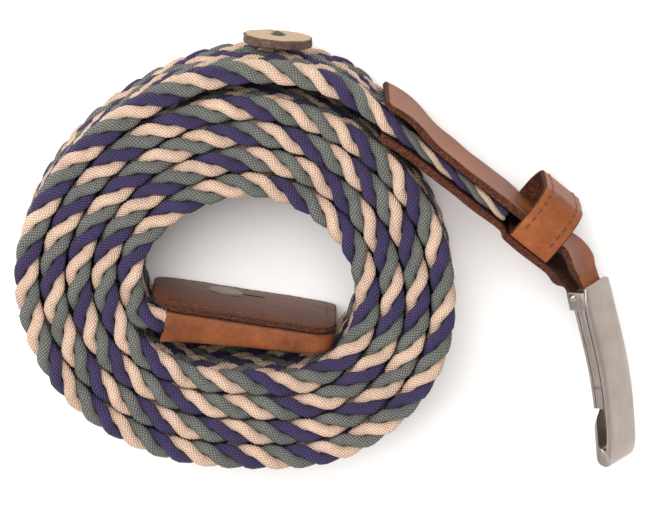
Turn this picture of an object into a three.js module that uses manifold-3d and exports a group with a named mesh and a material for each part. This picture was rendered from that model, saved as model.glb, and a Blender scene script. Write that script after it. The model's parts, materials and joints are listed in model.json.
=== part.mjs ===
// A woven belt rolled up and lying on its side: a flat braid wound in a spiral, with a leather
// strap, keeper and cast hook on its outer end, a wooden button on its outer turn and a leather
// cap on its inner end. Millimetres, +Z up, the coil's axis upright, the strap towards +X.
import * as THREE from "three";
import Module from "manifold-3d";
import { mergeVertices } from "three/addons/utils/BufferGeometryUtils.js";

const wasm = await Module();
wasm.setup();

// Clearances
const seatGap = 0.3; // between two pieces that touch on the real belt
const turnGap = 0.6; // between two turns of the coil

// Woven band
const bandWidth = 30;
const bandThickness = 5.3;
const bandEdgeRound = 1.25; // rounding of the braid's two long edges
const pressedThickness = 2.8; // thickness of the braid's two ends inside leather
const stationStep = 5; // distance between two cross-sections of the band

// Coil
const coilRadius = 48; // mean radius of the outermost turn
const coilTurns = 4.36;
const coilStart = 60; // degrees round the coil where the strap's straight run begins
const startLift = 3.2; // how far the outermost turn stands off where the strap leaves it
const startLiftTurns = 0.24; // share of a turn over which that lift dies away

// Leather strap with the fold that holds the hook
const strapAngle = -39; // direction of the straight run, degrees from +X
const strapLead = 8.2; // bare band before the outer layer of leather starts
const innerLead = 12; // and before the inner layer starts
const strapStraight = 60.5; // straight run, measured from the coil
const strapLeather = 1.7;
const foldLeather = 1.1; // the leather is pared thin where it folds round the bar
const bendLead = 7.8; // past the straight run it bends down to the bar: its tangent lengths
const bendTail = 6;
const foldAngle = -75; // direction of the leather where it folds
const foldTwist = 40; // degrees that the leather turns about its own length by the fold
const bandInStrap = 38.5; // length of braid held between the two leather layers

// Keeper loop
const keeperStart = 48.8; // from the coil, along the strap
const keeperWidth = 10.8;
const keeperLeather = 1.2;
const keeperRise = 11.4; // from the strap's middle to the top of the loop
const keeperFoot = 1.8; // the loop's foot lies this far on the inner side of the strap's middle
const keeperCorner = 4.2;

// Hook buckle: lengths run down from its bar, depths from its face towards its back
const barRadius = 1.1;
const hookLength = 42;
const hookLip = 2.3; // how far the face plate reaches past the bar
const hookWidth = 10;
const hookDepth = 4.6;
const hookPlate = 1.2;
const hookArm = 1.0; // side arms that carry the bar
const hookHang = -7; // degrees between the hook and the folded leather
const hookCorner = 1.3; // cut corners of the face plate
const hookBend = 9; // length of the bend at the foot
const noseThickness = 0.85;
const noseReach = 19.3; // from the foot up to the nose's tip
const legStart = 4.4;
const legEnd = 29;
const legFork = 4.8; // open fork at the leg's end that takes the nose
const legCheek = 0.9;
const legInset = 0.4; // the leg is narrower than the face plate, each side
const legGroove = 0.4; // groove between the leg and the face plate

// Button
const buttonRadius = 7.8;
const buttonThickness = 2.1;
const buttonStand = 1.6; // height of its underside over the braid
const buttonBearing = 81.5; // degrees round the coil
const threadRadius = 1.0;
const knotRadius = 1.9;
const knotHeight = 0.9;

// Leather cap on the inner end
const tipLength = 39.6;
const tipLeather = 1.2;
const tipOverhang = 3.2; // how far the upper leather reaches past the open end
const tipFootRound = 3; // rounding under the cap's closed end
const tipBendLead = 6.5; // the band bends from the coil into the cap: its two tangent lengths
const tipBendTail = 5;
const tipBendEnd = 1.5; // straight band before the cap's open end
const tipAngle = -7.2;
const tipCorner = 6;
const tipRadius = 22.95; // middle of the cap's open end: distance and bearing from the coil's axis
const tipBearing = 213.4;
const bandInTip = 35;
const studRadius = 4.15;
const studAlong = 13.5; // middle of the stud, from the cap's open end
const studAcross = 10.5; // and from the cap's far edge
const slitLength = 4.8;
const slitWidth = 0.5;

const turnPitch = bandThickness + turnGap;
const edgeRound = Math.min(bandEdgeRound, 0.45 * pressedThickness);
const middleHeight = bandWidth / 2;
const foldWidth = hookWidth - 2 * hookArm - 2 * seatGap;

// Radius of the coil round one turn, as shares of coilRadius: the roll isn't round
const coilShape = [
  { degrees: 0, share: 1.025 },
  { degrees: 30, share: 0.95 },
  { degrees: 60, share: 0.908 },
  { degrees: 90, share: 0.904 },
  { degrees: 120, share: 0.921 },
  { degrees: 150, share: 0.992 },
  { degrees: 180, share: 1.083 },
  { degrees: 210, share: 1.087 },
  { degrees: 240, share: 1.032 },
  { degrees: 270, share: 0.999 },
  { degrees: 300, share: 1.075 },
  { degrees: 330, share: 1.092 },
];

function direction(degrees) {
  const angle = THREE.MathUtils.degToRad(degrees);
  return new THREE.Vector3(Math.cos(angle), Math.sin(angle), 0);
}

// Radius share at any bearing: a smooth closed curve through the rows of coilShape
function coilShare(degrees) {
  const rows = coilShape.length;
  const place = THREE.MathUtils.euclideanModulo(degrees, 360) / (360 / rows);
  const first = Math.floor(place);
  const share = (offset) => coilShape[(first + offset + rows) % rows].share;
  const t = place - first;
  const slopeIn = (share(1) - share(-1)) / 2;
  const slopeOut = (share(2) - share(0)) / 2;
  return (
    share(0) * (2 * t ** 3 - 3 * t ** 2 + 1) +
    slopeIn * (t ** 3 - 2 * t ** 2 + t) +
    share(1) * (3 * t ** 2 - 2 * t ** 3) +
    slopeOut * (t ** 3 - t ** 2)
  );
}

// Middle of the band after a number of turns from the coil's start
function coilPoint(turns) {
  const bearing = coilStart + 360 * turns;
  const lift = turns < startLiftTurns ? (1 + Math.cos((Math.PI * turns) / startLiftTurns)) / 2 : 0;
  const radius = coilRadius * coilShare(bearing) - turnPitch * turns + startLift * lift;
  return direction(bearing).multiplyScalar(radius);
}

const coilEntry = coilPoint(0);
const tipEntry = direction(tipBearing).multiplyScalar(tipRadius);

function strapLinePoint(along) {
  return direction(strapAngle).multiplyScalar(along).add(coilEntry);
}

// Strap run: straight from the coil, then bent down to the bar
const bendStart = strapLinePoint(strapStraight);
const bendCorner = strapLinePoint(strapStraight + bendLead);
const barCentre = direction(foldAngle).multiplyScalar(bendTail).add(bendCorner);
const bend = new THREE.QuadraticBezierCurve3(bendStart, bendCorner, barCentre);
const bendLength = bend.getLength();
const strapRun = strapStraight + bendLength;

// Origin and directions of the strap at a distance from the coil: along, out, across
function strapFrame(distance) {
  const onBend = THREE.MathUtils.clamp((distance - strapStraight) / bendLength, 0, 1);
  const turned = THREE.MathUtils.smoothstep(distance, strapStraight, strapRun) * foldTwist;
  const along = onBend > 0 ? bend.getTangentAt(onBend) : direction(strapAngle);
  const origin = onBend > 0 ? bend.getPointAt(onBend) : strapLinePoint(distance);
  origin.addScaledVector(along, Math.max(0, distance - strapRun));
  origin.z = middleHeight;
  const across = new THREE.Vector3(0, 0, 1).applyAxisAngle(along, THREE.MathUtils.degToRad(turned));
  const out = new THREE.Vector3().crossVectors(across, along);
  return { origin, along, out, across };
}

function onStrap(distance, out, across) {
  const frame = strapFrame(distance);
  return frame.origin.addScaledVector(frame.out, out).addScaledVector(frame.across, across);
}

// Value at a place from a table of rows with a column "at" in rising order, eased between rows
function fromRows(rows, column, at) {
  const next = rows.findIndex((row) => row.at >= at);
  if (next === 0) return rows[0][column];
  if (next < 0) return rows[rows.length - 1][column];
  const [low, high] = [rows[next - 1], rows[next]];
  return THREE.MathUtils.lerp(low[column], high[column], THREE.MathUtils.smoothstep(at, low.at, high.at));
}

// Strap sections: distance from the coil, width, leather thickness, and how far the facing
// sides of the outer and the inner layer lie from the strap's middle
const bandEnd = strapLead + bandInStrap;
const keeperEnd = keeperStart + keeperWidth;
const bandFace = bandThickness / 2 + seatGap;
const pressedFace = pressedThickness / 2 + seatGap;
const footTop = keeperLeather / 2 - keeperFoot;
const footUnder = keeperFoot + keeperLeather / 2 + seatGap;
const barFace = barRadius + seatGap;
const strapSections = [
  { at: 0, width: bandWidth, leather: 0.6 * strapLeather, outer: bandFace, inner: bandFace },
  {
    at: strapLead,
    width: 0.98 * bandWidth,
    leather: 0.8 * strapLeather,
    outer: 0.86 * bandFace,
    inner: 0.86 * bandFace,
  },
  {
    at: bandEnd - 0.65 * bandInStrap,
    width: 0.93 * bandWidth,
    leather: strapLeather,
    outer: pressedFace,
    inner: pressedFace,
  },
  { at: bandEnd, width: 0.86 * bandWidth, leather: strapLeather, outer: pressedFace, inner: pressedFace },
  {
    at: keeperStart - seatGap,
    width: 0.86 * bandWidth,
    leather: strapLeather,
    outer: pressedFace,
    inner: footUnder,
  },
  { at: keeperEnd + seatGap, width: 0.84 * bandWidth, leather: strapLeather, outer: barFace, inner: footUnder },
  {
    at: strapRun - 0.42 * bendLength,
    width: 0.6 * bandWidth,
    leather: strapLeather,
    outer: barFace,
    inner: barFace,
  },
  { at: strapRun - 0.27 * bendLength, width: foldWidth, leather: foldLeather, outer: barFace, inner: barFace },
];

// Width of the band near the cap; from the cap's open end on it is pressed thinner, evenly
const widthInTip = bandWidth - 2 * tipLeather - 2 * seatGap;
const tipSections = [
  { at: -3 * bandThickness, width: bandWidth },
  { at: -1.6 * bandThickness, width: widthInTip },
];

function thicknessInTip(along) {
  const share = THREE.MathUtils.clamp(along / tipLength, 0, 1);
  return THREE.MathUtils.lerp(bandThickness, pressedThickness, share);
}

// One closed solid of the library from a closed geometry, and back
function toSolid(geometry) {
  const bare = geometry.clone();
  bare.deleteAttribute("normal");
  bare.deleteAttribute("uv");
  const merged = mergeVertices(bare, 1e-5);
  const vertProperties = new Float32Array(merged.attributes.position.array);
  const triVerts = new Uint32Array(merged.index.array);
  return new wasm.Manifold(new wasm.Mesh({ numProp: 3, vertProperties, triVerts }));
}

function fromSolid(solid) {
  const mesh = solid.getMesh();
  const geometry = new THREE.BufferGeometry();
  geometry.setAttribute("position", new THREE.BufferAttribute(new Float32Array(mesh.vertProperties), 3));
  geometry.setIndex(new THREE.BufferAttribute(new Uint32Array(mesh.triVerts), 1));
  geometry.computeVertexNormals();
  return geometry;
}

function boxBetween(low, high) {
  const size = high.map((value, axis) => value - low[axis]);
  const box = new THREE.BoxGeometry(...size);
  return box.translate(...low.map((value, axis) => value + size[axis] / 2));
}

function extrude(shape, depth, options = {}) {
  return new THREE.ExtrudeGeometry(shape, { depth, bevelEnabled: false, ...options });
}

// Moves each vertex of a geometry to where place(x, y, z) puts it
function remap(geometry, place) {
  const position = geometry.attributes.position;
  for (let i = 0; i < position.count; i += 1) {
    const point = place(position.getX(i), position.getY(i), position.getZ(i));
    position.setXYZ(i, point.x, point.y, point.z);
  }
  position.needsUpdate = true;
  geometry.computeVertexNormals();
  return geometry;
}

// Middle line of the band: from its end in the strap, round the coil, to its end in the cap
function bandLine() {
  const points = [];
  const strapSteps = Math.round(bandEnd / stationStep);
  for (let i = strapSteps; i > 0; i -= 1) points.push(strapLinePoint((bandEnd * i) / strapSteps));
  const coilSteps = Math.round(coilTurns * 36);
  for (let i = 0; i <= coilSteps; i += 1) points.push(coilPoint((coilTurns * i) / coilSteps));
  const tipAlong = direction(tipAngle);
  const coilExit = coilPoint(coilTurns);
  const exitAlong = coilPoint(coilTurns + 0.001).sub(coilPoint(coilTurns - 0.001)).normalize();
  const bendEnd = tipEntry.clone().addScaledVector(tipAlong, -tipBendEnd);
  const entry = new THREE.CubicBezierCurve3(
    coilExit,
    coilExit.clone().addScaledVector(exitAlong, tipBendLead),
    bendEnd.clone().addScaledVector(tipAlong, -tipBendTail),
    bendEnd,
  );
  points.push(...entry.getSpacedPoints(8).slice(1));
  const tipSteps = Math.round(bandInTip / stationStep);
  for (let i = 0; i <= tipSteps; i += 1) {
    points.push(tipEntry.clone().addScaledVector(tipAlong, (bandInTip * i) / tipSteps));
  }
  return new THREE.CatmullRomCurve3(points, false, "centripetal");
}

// Distance along the cap and along the strap of a point near the band's two ends
function alongTip(point) {
  return point.clone().sub(tipEntry).dot(direction(tipAngle));
}

function alongStrap(point) {
  return point.clone().sub(coilEntry).dot(direction(strapAngle));
}

function wovenBand() {
  const line = bandLine();
  const length = line.getLength();
  const stations = Math.round(length / stationStep);
  const left = [];
  const right = [];
  const widths = [];
  for (let i = 0; i <= stations; i += 1) {
    const share = i / stations;
    const centre = line.getPointAt(share);
    const ahead = line.getTangentAt(share);
    const side = new THREE.Vector3(-ahead.y, ahead.x, 0);
    let thickness = bandThickness;
    let width = bandWidth;
    if (share < 0.1 && alongStrap(centre) > 0) {
      thickness = 2 * (fromRows(strapSections, "outer", alongStrap(centre)) - seatGap);
      width = fromRows(strapSections, "width", alongStrap(centre));
    }
    if (length * (1 - share) < 1.5 * bandInTip) {
      thickness = thicknessInTip(alongTip(centre));
      width = fromRows(tipSections, "width", alongTip(centre));
    }
    left.push(centre.clone().addScaledVector(side, thickness / 2));
    right.push(centre.clone().addScaledVector(side, -thickness / 2));
    widths.push(width);
  }
  const outline = [...left, ...right.slice().reverse()];
  const outlineWidths = [...widths, ...widths.slice().reverse()];
  const shape = new THREE.Shape(outline.map((p) => new THREE.Vector2(p.x, p.y)));
  const geometry = extrude(shape, bandWidth - 2 * edgeRound, {
    bevelEnabled: true,
    bevelThickness: edgeRound,
    bevelSize: edgeRound,
    bevelOffset: -edgeRound,
    bevelSegments: 2,
  });
  geometry.translate(0, 0, edgeRound);
  // The band narrows inside the leather: each vertex takes the width of its nearest section
  return remap(geometry, (x, y, z) => {
    let nearest = 0;
    let least = Infinity;
    outline.forEach((p, i) => {
      const distance = (p.x - x) ** 2 + (p.y - y) ** 2;
      if (distance < least) {
        least = distance;
        nearest = i;
      }
    });
    const narrowing = outlineWidths[nearest] / bandWidth;
    return new THREE.Vector3(x, y, middleHeight + (z - middleHeight) * narrowing);
  });
}

// A closed strip through rings of six points: three on its one face, three back on the other
function loftedStrip(rings) {
  const ringSize = 6;
  const triangles = [0, 1, 4, 0, 4, 5, 1, 2, 3, 1, 3, 4];
  const last = (rings.length - 1) * ringSize;
  triangles.push(...triangles.slice().reverse().map((index) => index + last));
  for (let ring = 0; ring < rings.length - 1; ring += 1) {
    for (let i = 0; i < ringSize; i += 1) {
      const [a, b] = [ring * ringSize + i, ring * ringSize + ((i + 1) % ringSize)];
      triangles.push(a, a + ringSize, b, b, a + ringSize, b + ringSize);
    }
  }
  const geometry = new THREE.BufferGeometry().setFromPoints(rings.flat());
  geometry.setIndex(triangles);
  geometry.computeVertexNormals();
  return geometry;
}

// One strip of leather: out along the outer layer, round the bar and back along the inner one
function buckleStrap() {
  const ringAt = (distance, facing, away, width) =>
    [[facing, -0.5], [facing, 0], [facing, 0.5], [away, 0.5], [away, 0], [away, -0.5]].map(([out, share]) =>
      onStrap(distance, out, share * width),
    );
  const layer = (side, sign, lead) => {
    const steps = Math.round((strapStraight - lead) / 2);
    const distances = [];
    for (let i = 0; i < steps; i += 1) distances.push(lead + ((strapStraight - lead) * i) / steps);
    for (let i = 0; i <= 12; i += 1) distances.push(strapStraight + (bendLength * i) / 12);
    return distances.map((distance) => {
      const facing = fromRows(strapSections, side, distance);
      const away = facing + fromRows(strapSections, "leather", distance);
      return ringAt(distance, sign * facing, sign * away, fromRows(strapSections, "width", distance));
    });
  };
  const foldSteps = 10;
  const fold = Array.from({ length: foldSteps - 1 }, (_, i) => {
    const angle = Math.PI * (0.5 - (i + 1) / foldSteps);
    const centre = strapFrame(strapRun);
    const ray = centre.along.clone().multiplyScalar(Math.cos(angle));
    ray.addScaledVector(centre.out, Math.sin(angle));
    return [[barFace, -0.5], [barFace, 0], [barFace, 0.5]]
      .concat([[barFace + foldLeather, 0.5], [barFace + foldLeather, 0], [barFace + foldLeather, -0.5]])
      .map(([radius, share]) =>
        centre.origin.clone().addScaledVector(ray, radius).addScaledVector(centre.across, share * foldWidth),
      );
  });
  return loftedStrip([...layer("outer", 1, strapLead), ...fold, ...layer("inner", -1, innerLead).reverse()]);
}

function roundedRectangle(lowX, lowY, highX, highY, cornersLow, cornersHigh) {
  const shape = new THREE.Shape();
  shape.moveTo(lowX + cornersLow, lowY);
  shape.lineTo(highX - cornersHigh, lowY);
  if (cornersHigh > 0) shape.absarc(highX - cornersHigh, lowY + cornersHigh, cornersHigh, -Math.PI / 2, 0);
  shape.lineTo(highX, highY - cornersHigh);
  if (cornersHigh > 0) shape.absarc(highX - cornersHigh, highY - cornersHigh, cornersHigh, 0, Math.PI / 2);
  shape.lineTo(lowX + cornersLow, highY);
  if (cornersLow > 0) shape.absarc(lowX + cornersLow, highY - cornersLow, cornersLow, Math.PI / 2, Math.PI);
  shape.lineTo(lowX, lowY + cornersLow);
  if (cornersLow > 0) shape.absarc(lowX + cornersLow, lowY + cornersLow, cornersLow, Math.PI, 1.5 * Math.PI);
  return shape;
}

// A leather ring round the strap's outer layer: its foot lies between the two layers
function keeperLoop() {
  const halfInside = fromRows(strapSections, "width", keeperStart) / 2 + seatGap;
  const half = halfInside + keeperLeather;
  const foot = keeperLeather / 2;
  const ring = roundedRectangle(-keeperFoot - foot, -half, keeperRise, half, foot, keeperCorner);
  const roof = keeperRise - keeperLeather;
  const hollow = roundedRectangle(footTop, -halfInside, roof, halfInside, 0, keeperCorner - keeperLeather);
  ring.holes.push(hollow);
  const geometry = extrude(ring, keeperWidth, { curveSegments: 6 });
  const frame = strapFrame(keeperStart);
  const basis = new THREE.Matrix4().makeBasis(frame.out, frame.across, frame.along).setPosition(frame.origin);
  return geometry.applyMatrix4(basis);
}

// The hook's own frame: x down its length from the bar, y from the bar out to the face, z across
function hookBuckle() {
  const plateInside = barRadius + seatGap + foldLeather + seatGap;
  const face = plateInside + hookPlate;
  const back = face - hookDepth;
  const noseInside = back + noseThickness;
  const noseTip = hookLength - noseReach;
  const bendX = hookLength - hookBend;

  const profile = new THREE.Shape();
  profile.moveTo(-hookLip, face - hookPlate / 3);
  profile.lineTo(-hookLip + hookPlate / 3, face);
  profile.lineTo(bendX, face);
  profile.bezierCurveTo(
    bendX + 0.6 * hookBend, face,
    hookLength, face - 0.3 * hookDepth,
    hookLength, back + 0.25 * hookDepth,
  );
  profile.quadraticCurveTo(hookLength, back, hookLength - 0.2 * hookBend, back);
  profile.lineTo(noseTip, back);
  profile.lineTo(noseTip, noseInside);
  profile.lineTo(bendX, noseInside + 0.1 * hookPlate);
  const crook = hookLength - 0.5 * hookBend;
  profile.quadraticCurveTo(crook, noseInside, crook, plateInside - 0.6 * hookPlate);
  profile.quadraticCurveTo(hookLength - 0.6 * hookBend, plateInside, bendX, plateInside);
  profile.lineTo(-hookLip + hookPlate, plateInside);
  profile.closePath();
  const sides = extrude(profile, hookWidth, { curveSegments: 6 }).translate(0, 0, -hookWidth / 2);

  const half = hookWidth / 2;
  const plan = new THREE.Shape();
  plan.moveTo(-hookLip, -half + hookCorner);
  plan.lineTo(-hookLip + hookCorner, -half);
  plan.lineTo(hookLength - hookCorner, -half);
  plan.lineTo(hookLength, -half + hookCorner);
  plan.lineTo(hookLength, half - hookCorner);
  plan.lineTo(hookLength - hookCorner, half);
  plan.lineTo(-hookLip + hookCorner, half);
  plan.lineTo(-hookLip, half - hookCorner);
  const front = extrude(plan, 2 * hookDepth).translate(0, 0, -hookDepth).rotateX(-Math.PI / 2);
  let hook = toSolid(sides).intersect(toSolid(front));

  // The nose narrows to pass between the leg's cheeks
  const legHalf = half - legInset;
  const noseHalf = legHalf - legCheek - seatGap;
  for (const side of [-1, 1]) {
    const near = side > 0 ? noseHalf : -half - 1;
    const far = side > 0 ? half + 1 : -noseHalf;
    const cutTop = plateInside - legGroove - 0.1;
    const cut = boxBetween([noseTip - 1, back - 1, near], [legEnd + seatGap, cutTop, far]);
    hook = hook.subtract(toSolid(cut));
  }

  // The back leg, joined to the plate by a narrower core, with a fork at its end
  const legTop = plateInside - legGroove;
  const coreHalf = legHalf - legGroove;
  const leg = boxBetween([legStart, back, -legHalf], [legEnd, legTop, legHalf]);
  const core = boxBetween([legStart, legTop - 0.2, -coreHalf], [legEnd - legFork, plateInside + 0.2, coreHalf]);
  const forkHalf = legHalf - legCheek;
  const forkStart = legEnd - legFork - seatGap;
  const fork = boxBetween([forkStart, back - 1, -forkHalf], [legEnd + 1, legTop + 1, forkHalf]);
  hook = hook.add(toSolid(leg).subtract(toSolid(fork))).add(toSolid(core));

  // Side arms and the bar between them
  const armReach = barRadius + 0.3;
  for (const side of [-1, 1]) {
    const low = side > 0 ? half - hookArm : -half;
    const arm = boxBetween([-armReach, -armReach, low], [armReach, plateInside + 0.2, low + hookArm]);
    hook = hook.add(toSolid(arm));
  }
  const bar = new THREE.CylinderGeometry(barRadius, barRadius, hookWidth - hookArm, 16).rotateX(Math.PI / 2);
  return fromSolid(hook.add(toSolid(bar)));
}

function lathe(profile, segments) {
  const outline = profile.map(([radius, height]) => new THREE.Vector2(radius, height));
  return new THREE.LatheGeometry(outline, segments);
}

// A disc of wood with one hole for the thread, its axis along +Y
function woodenButton() {
  const hole = threadRadius + seatGap;
  const edge = 0.3;
  return lathe(
    [
      [hole, 0],
      [buttonRadius - edge, 0],
      [buttonRadius, edge],
      [buttonRadius, buttonThickness - edge],
      [buttonRadius - edge, buttonThickness],
      [hole, buttonThickness],
      [hole, 0],
    ],
    32,
  );
}

// The thread: a shank through the button with a knot on top
function buttonThread() {
  const knotBase = buttonStand + buttonThickness + seatGap;
  return lathe(
    [
      [0, seatGap],
      [threadRadius, seatGap],
      [threadRadius, knotBase],
      [knotRadius, knotBase],
      [knotRadius, knotBase + 0.4 * knotHeight],
      [0.55 * knotRadius, knotBase + knotHeight],
      [0, knotBase + knotHeight],
    ],
    16,
  );
}

// Outline of the leather cap seen from its flat side: x along it, y across it
function tipOutline(start, inset) {
  return roundedRectangle(start, inset, tipLength - inset, bandWidth - inset, 0, tipCorner - inset);
}

// A slab of the cap: an outline between two heights, heights counted from the cap's middle
function tipSlab(outline, low, high) {
  return extrude(outline, high - low, { curveSegments: 6 }).rotateX(Math.PI / 2).translate(0, high, 0);
}

const cavityHalf = pressedThickness / 2 + seatGap;

// The cap is a wedge: towards its open end both sides move apart with the band's thickness
function wedged(geometry) {
  return remap(geometry, (x, y, z) => {
    const spread = (bandThickness - pressedThickness) * (1 - x / tipLength) / 2;
    return new THREE.Vector3(x, y + Math.sign(y) * spread, z);
  });
}

function tipShell() {
  const bottom = -cavityHalf - tipLeather;
  const block = tipSlab(tipOutline(0, 0), bottom, cavityHalf);
  const cavity = tipSlab(tipOutline(-1, tipLeather), -cavityHalf, cavityHalf + 1);
  const side = new THREE.Shape();
  side.moveTo(-1, bottom);
  side.lineTo(tipLength - tipFootRound, bottom);
  side.absarc(tipLength - tipFootRound, bottom + tipFootRound, tipFootRound, -Math.PI / 2, 0);
  side.lineTo(tipLength, cavityHalf + 1);
  side.lineTo(-1, cavityHalf + 1);
  const sides = extrude(side, bandWidth + 2, { curveSegments: 5 }).translate(0, 0, -1);
  return wedged(fromSolid(toSolid(block).subtract(toSolid(cavity)).intersect(toSolid(sides))));
}

// Upper leather with a keyhole: a round hole for the stud and a slit running on from it
function tipCover() {
  const outline = tipOutline(-tipOverhang, 0);
  const holeRadius = studRadius + seatGap;
  const slitAngle = Math.asin(slitWidth / 2 / holeRadius);
  const keyhole = new THREE.Path();
  keyhole.absarc(studAlong, studAcross, holeRadius, slitAngle, 2 * Math.PI - slitAngle);
  keyhole.lineTo(studAlong + holeRadius + slitLength, studAcross - slitWidth / 2);
  keyhole.lineTo(studAlong + holeRadius + slitLength, studAcross + slitWidth / 2);
  keyhole.closePath();
  outline.holes.push(keyhole);
  return wedged(tipSlab(outline, cavityHalf + seatGap, cavityHalf + seatGap + tipLeather));
}

function tipStud() {
  const low = cavityHalf;
  const high = cavityHalf + tipLeather;
  const disc = new THREE.CylinderGeometry(studRadius, studRadius, high - low, 28);
  return wedged(disc.translate(studAlong, (low + high) / 2, studAcross));
}

function material(color, roughness, metalness = 0) {
  return new THREE.MeshStandardMaterial({ color, roughness, metalness });
}

const braid = material("#8c7f78", 0.85);
const leather = material("#8c4f33", 0.6);
const nickel = material("#afa29a", 0.35, 0.9);
const wood = material("#c9ab86", 0.7);
const threadFinish = material("#5c6350", 0.9);

function piece(name, geometry, finish) {
  const mesh = new THREE.Mesh(geometry, finish);
  mesh.name = name;
  return mesh;
}

const belt = new THREE.Group();
belt.add(piece("woven_band", wovenBand(), braid));
belt.add(piece("buckle_strap", buckleStrap(), leather));
belt.add(piece("keeper_loop", keeperLoop(), leather));

const hookFrame = strapFrame(strapRun);
const hook = new THREE.Group();
hook.add(piece("hook_buckle", hookBuckle(), nickel));
hook.position.copy(hookFrame.origin);
hook.quaternion
  .setFromRotationMatrix(new THREE.Matrix4().makeBasis(hookFrame.along, hookFrame.out, hookFrame.across))
  .multiply(
    new THREE.Quaternion().setFromAxisAngle(new THREE.Vector3(0, 0, 1), THREE.MathUtils.degToRad(hookHang)),
  );
belt.add(hook);

// The button stands on the outer turn, its axis along the braid's outward direction there
const buttonTurns = (buttonBearing - coilStart) / 360;
const buttonSeat = coilPoint(buttonTurns);
const seatAhead = coilPoint(buttonTurns + 0.001).sub(coilPoint(buttonTurns - 0.001)).normalize();
const seatOut = new THREE.Vector3(seatAhead.y, -seatAhead.x, 0);
const buttonGroup = new THREE.Group();
const buttonBody = piece("button", woodenButton(), wood);
buttonBody.position.y = buttonStand;
buttonGroup.add(buttonBody, piece("button_thread", buttonThread(), threadFinish));
buttonGroup.position.copy(buttonSeat).addScaledVector(seatOut, bandThickness / 2).setZ(middleHeight);
buttonGroup.rotation.z = Math.atan2(seatOut.y, seatOut.x) - Math.PI / 2;
belt.add(buttonGroup);

const tip = new THREE.Group();
tip.add(piece("tip_shell", tipShell(), leather));
tip.add(piece("tip_cover", tipCover(), leather));
tip.add(piece("tip_stud", tipStud(), nickel));
tip.position.copy(tipEntry);
tip.rotation.z = THREE.MathUtils.degToRad(tipAngle);
belt.add(tip);

// Origin under the middle of the whole belt
const bounds = new THREE.Box3().setFromObject(belt, true);
const middle = bounds.getCenter(new THREE.Vector3());
belt.position.set(-middle.x, -middle.y, -bounds.min.z);

const group = new THREE.Group();
group.add(belt);
export default group;
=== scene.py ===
import json
import math

import bpy
import numpy as np
from mathutils import Matrix, Vector


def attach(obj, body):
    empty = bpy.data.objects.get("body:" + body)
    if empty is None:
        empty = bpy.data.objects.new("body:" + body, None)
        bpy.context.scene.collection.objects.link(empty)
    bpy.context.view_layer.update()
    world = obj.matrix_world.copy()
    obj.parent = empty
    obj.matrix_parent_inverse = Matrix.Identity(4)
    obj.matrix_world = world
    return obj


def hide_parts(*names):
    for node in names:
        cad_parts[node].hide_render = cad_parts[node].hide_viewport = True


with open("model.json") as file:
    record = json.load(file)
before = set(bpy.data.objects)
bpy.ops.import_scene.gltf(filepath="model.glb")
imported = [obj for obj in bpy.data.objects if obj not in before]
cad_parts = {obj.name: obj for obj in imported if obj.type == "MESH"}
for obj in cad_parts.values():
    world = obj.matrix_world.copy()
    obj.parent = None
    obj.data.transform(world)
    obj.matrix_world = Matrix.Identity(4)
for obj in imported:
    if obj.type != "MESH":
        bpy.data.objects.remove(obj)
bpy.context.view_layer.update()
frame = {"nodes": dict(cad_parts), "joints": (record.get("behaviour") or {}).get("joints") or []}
print("frame loaded:", len(frame["nodes"]), "nodes")

# Lengths below are millimetres in the coil's own frame: its axis at 0, 0 and the table at 0
belt = {
    "bandWidth": 30.0,
    "bandThickness": 5.3,
    "pressedThickness": 2.8,
    "seatGap": 0.3,
    "coilRadius": 48.0,
    "coilTurns": 4.36,
    "coilStart": 60.0,  # degrees round the coil where the strap leaves it
    "turnPitch": 5.9,
    "startLift": 3.2,
    "startLiftTurns": 0.24,
    "coilShape": [1.025, 0.95, 0.908, 0.904, 0.921, 0.992, 1.083, 1.087, 1.032, 0.999, 1.075, 1.092],
    "strapAngle": -39.0,
    "strapStraight": 60.5,
    "bendLead": 7.8,
    "bendTail": 6.0,
    "foldAngle": -75.0,
    "foldTwist": 40.0,
    "strapLead": 8.2,
    "bandInStrap": 38.5,
    "strapLeather": 1.7,
    "foldLeather": 1.1,
    "foldWidth": 7.4,
    "footUnder": 2.7,  # from the strap's middle to the inner layer under the keeper's foot
    "barFace": 1.4,  # from the bar's middle to the leather round it
    "keeperStart": 48.8,
    "keeperWidth": 10.8,
    "tipRadius": 22.95,
    "tipBearing": 213.4,
    "tipAngle": -7.2,
    "tipLength": 39.6,
    "bandInTip": 35.0,
    "tipCurlEnd": 1.5,  # the band runs straight from this far before the cap
}
middleHeight = belt["bandWidth"] / 2
upwards = np.array([0.0, 0.0, 1.0])


# Unit vectors in the table's plane at an angle in degrees
def direction(degrees):
    angle = np.radians(np.asarray(degrees, float))
    return np.stack([np.cos(angle), np.sin(angle), np.zeros_like(angle)], -1)


def smoothStep(x, low=0.0, high=1.0):
    t = np.clip((np.asarray(x, float) - low) / (high - low), 0, 1)
    return t * t * (3 - 2 * t)


# Cubic curve through its first and last point, its two middle points pulling it
def cubicCurve(first, leadOut, leadIn, last, count):
    t = np.linspace(0, 1, count)[:, None]
    first, leadOut, leadIn, last = (np.asarray(p, float) for p in (first, leadOut, leadIn, last))
    return (1 - t) ** 3 * first + 3 * t * (1 - t) ** 2 * leadOut + 3 * t**2 * (1 - t) * leadIn + t**3 * last


# Each row of vectors divided by its own length
def unit(vectors):
    return vectors / np.maximum(np.linalg.norm(vectors, axis=-1, keepdims=True), 1e-9)


# Distance of each point of a line from the line's start
def lengthsAlong(line):
    return np.concatenate([[0], np.cumsum(np.linalg.norm(np.diff(line, axis=0), axis=1))])


# Points or directions of a line, read at given distances from its start
def valuesAt(at, lengths, values):
    return np.stack([np.interp(at, lengths, column) for column in values.T], -1)


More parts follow.
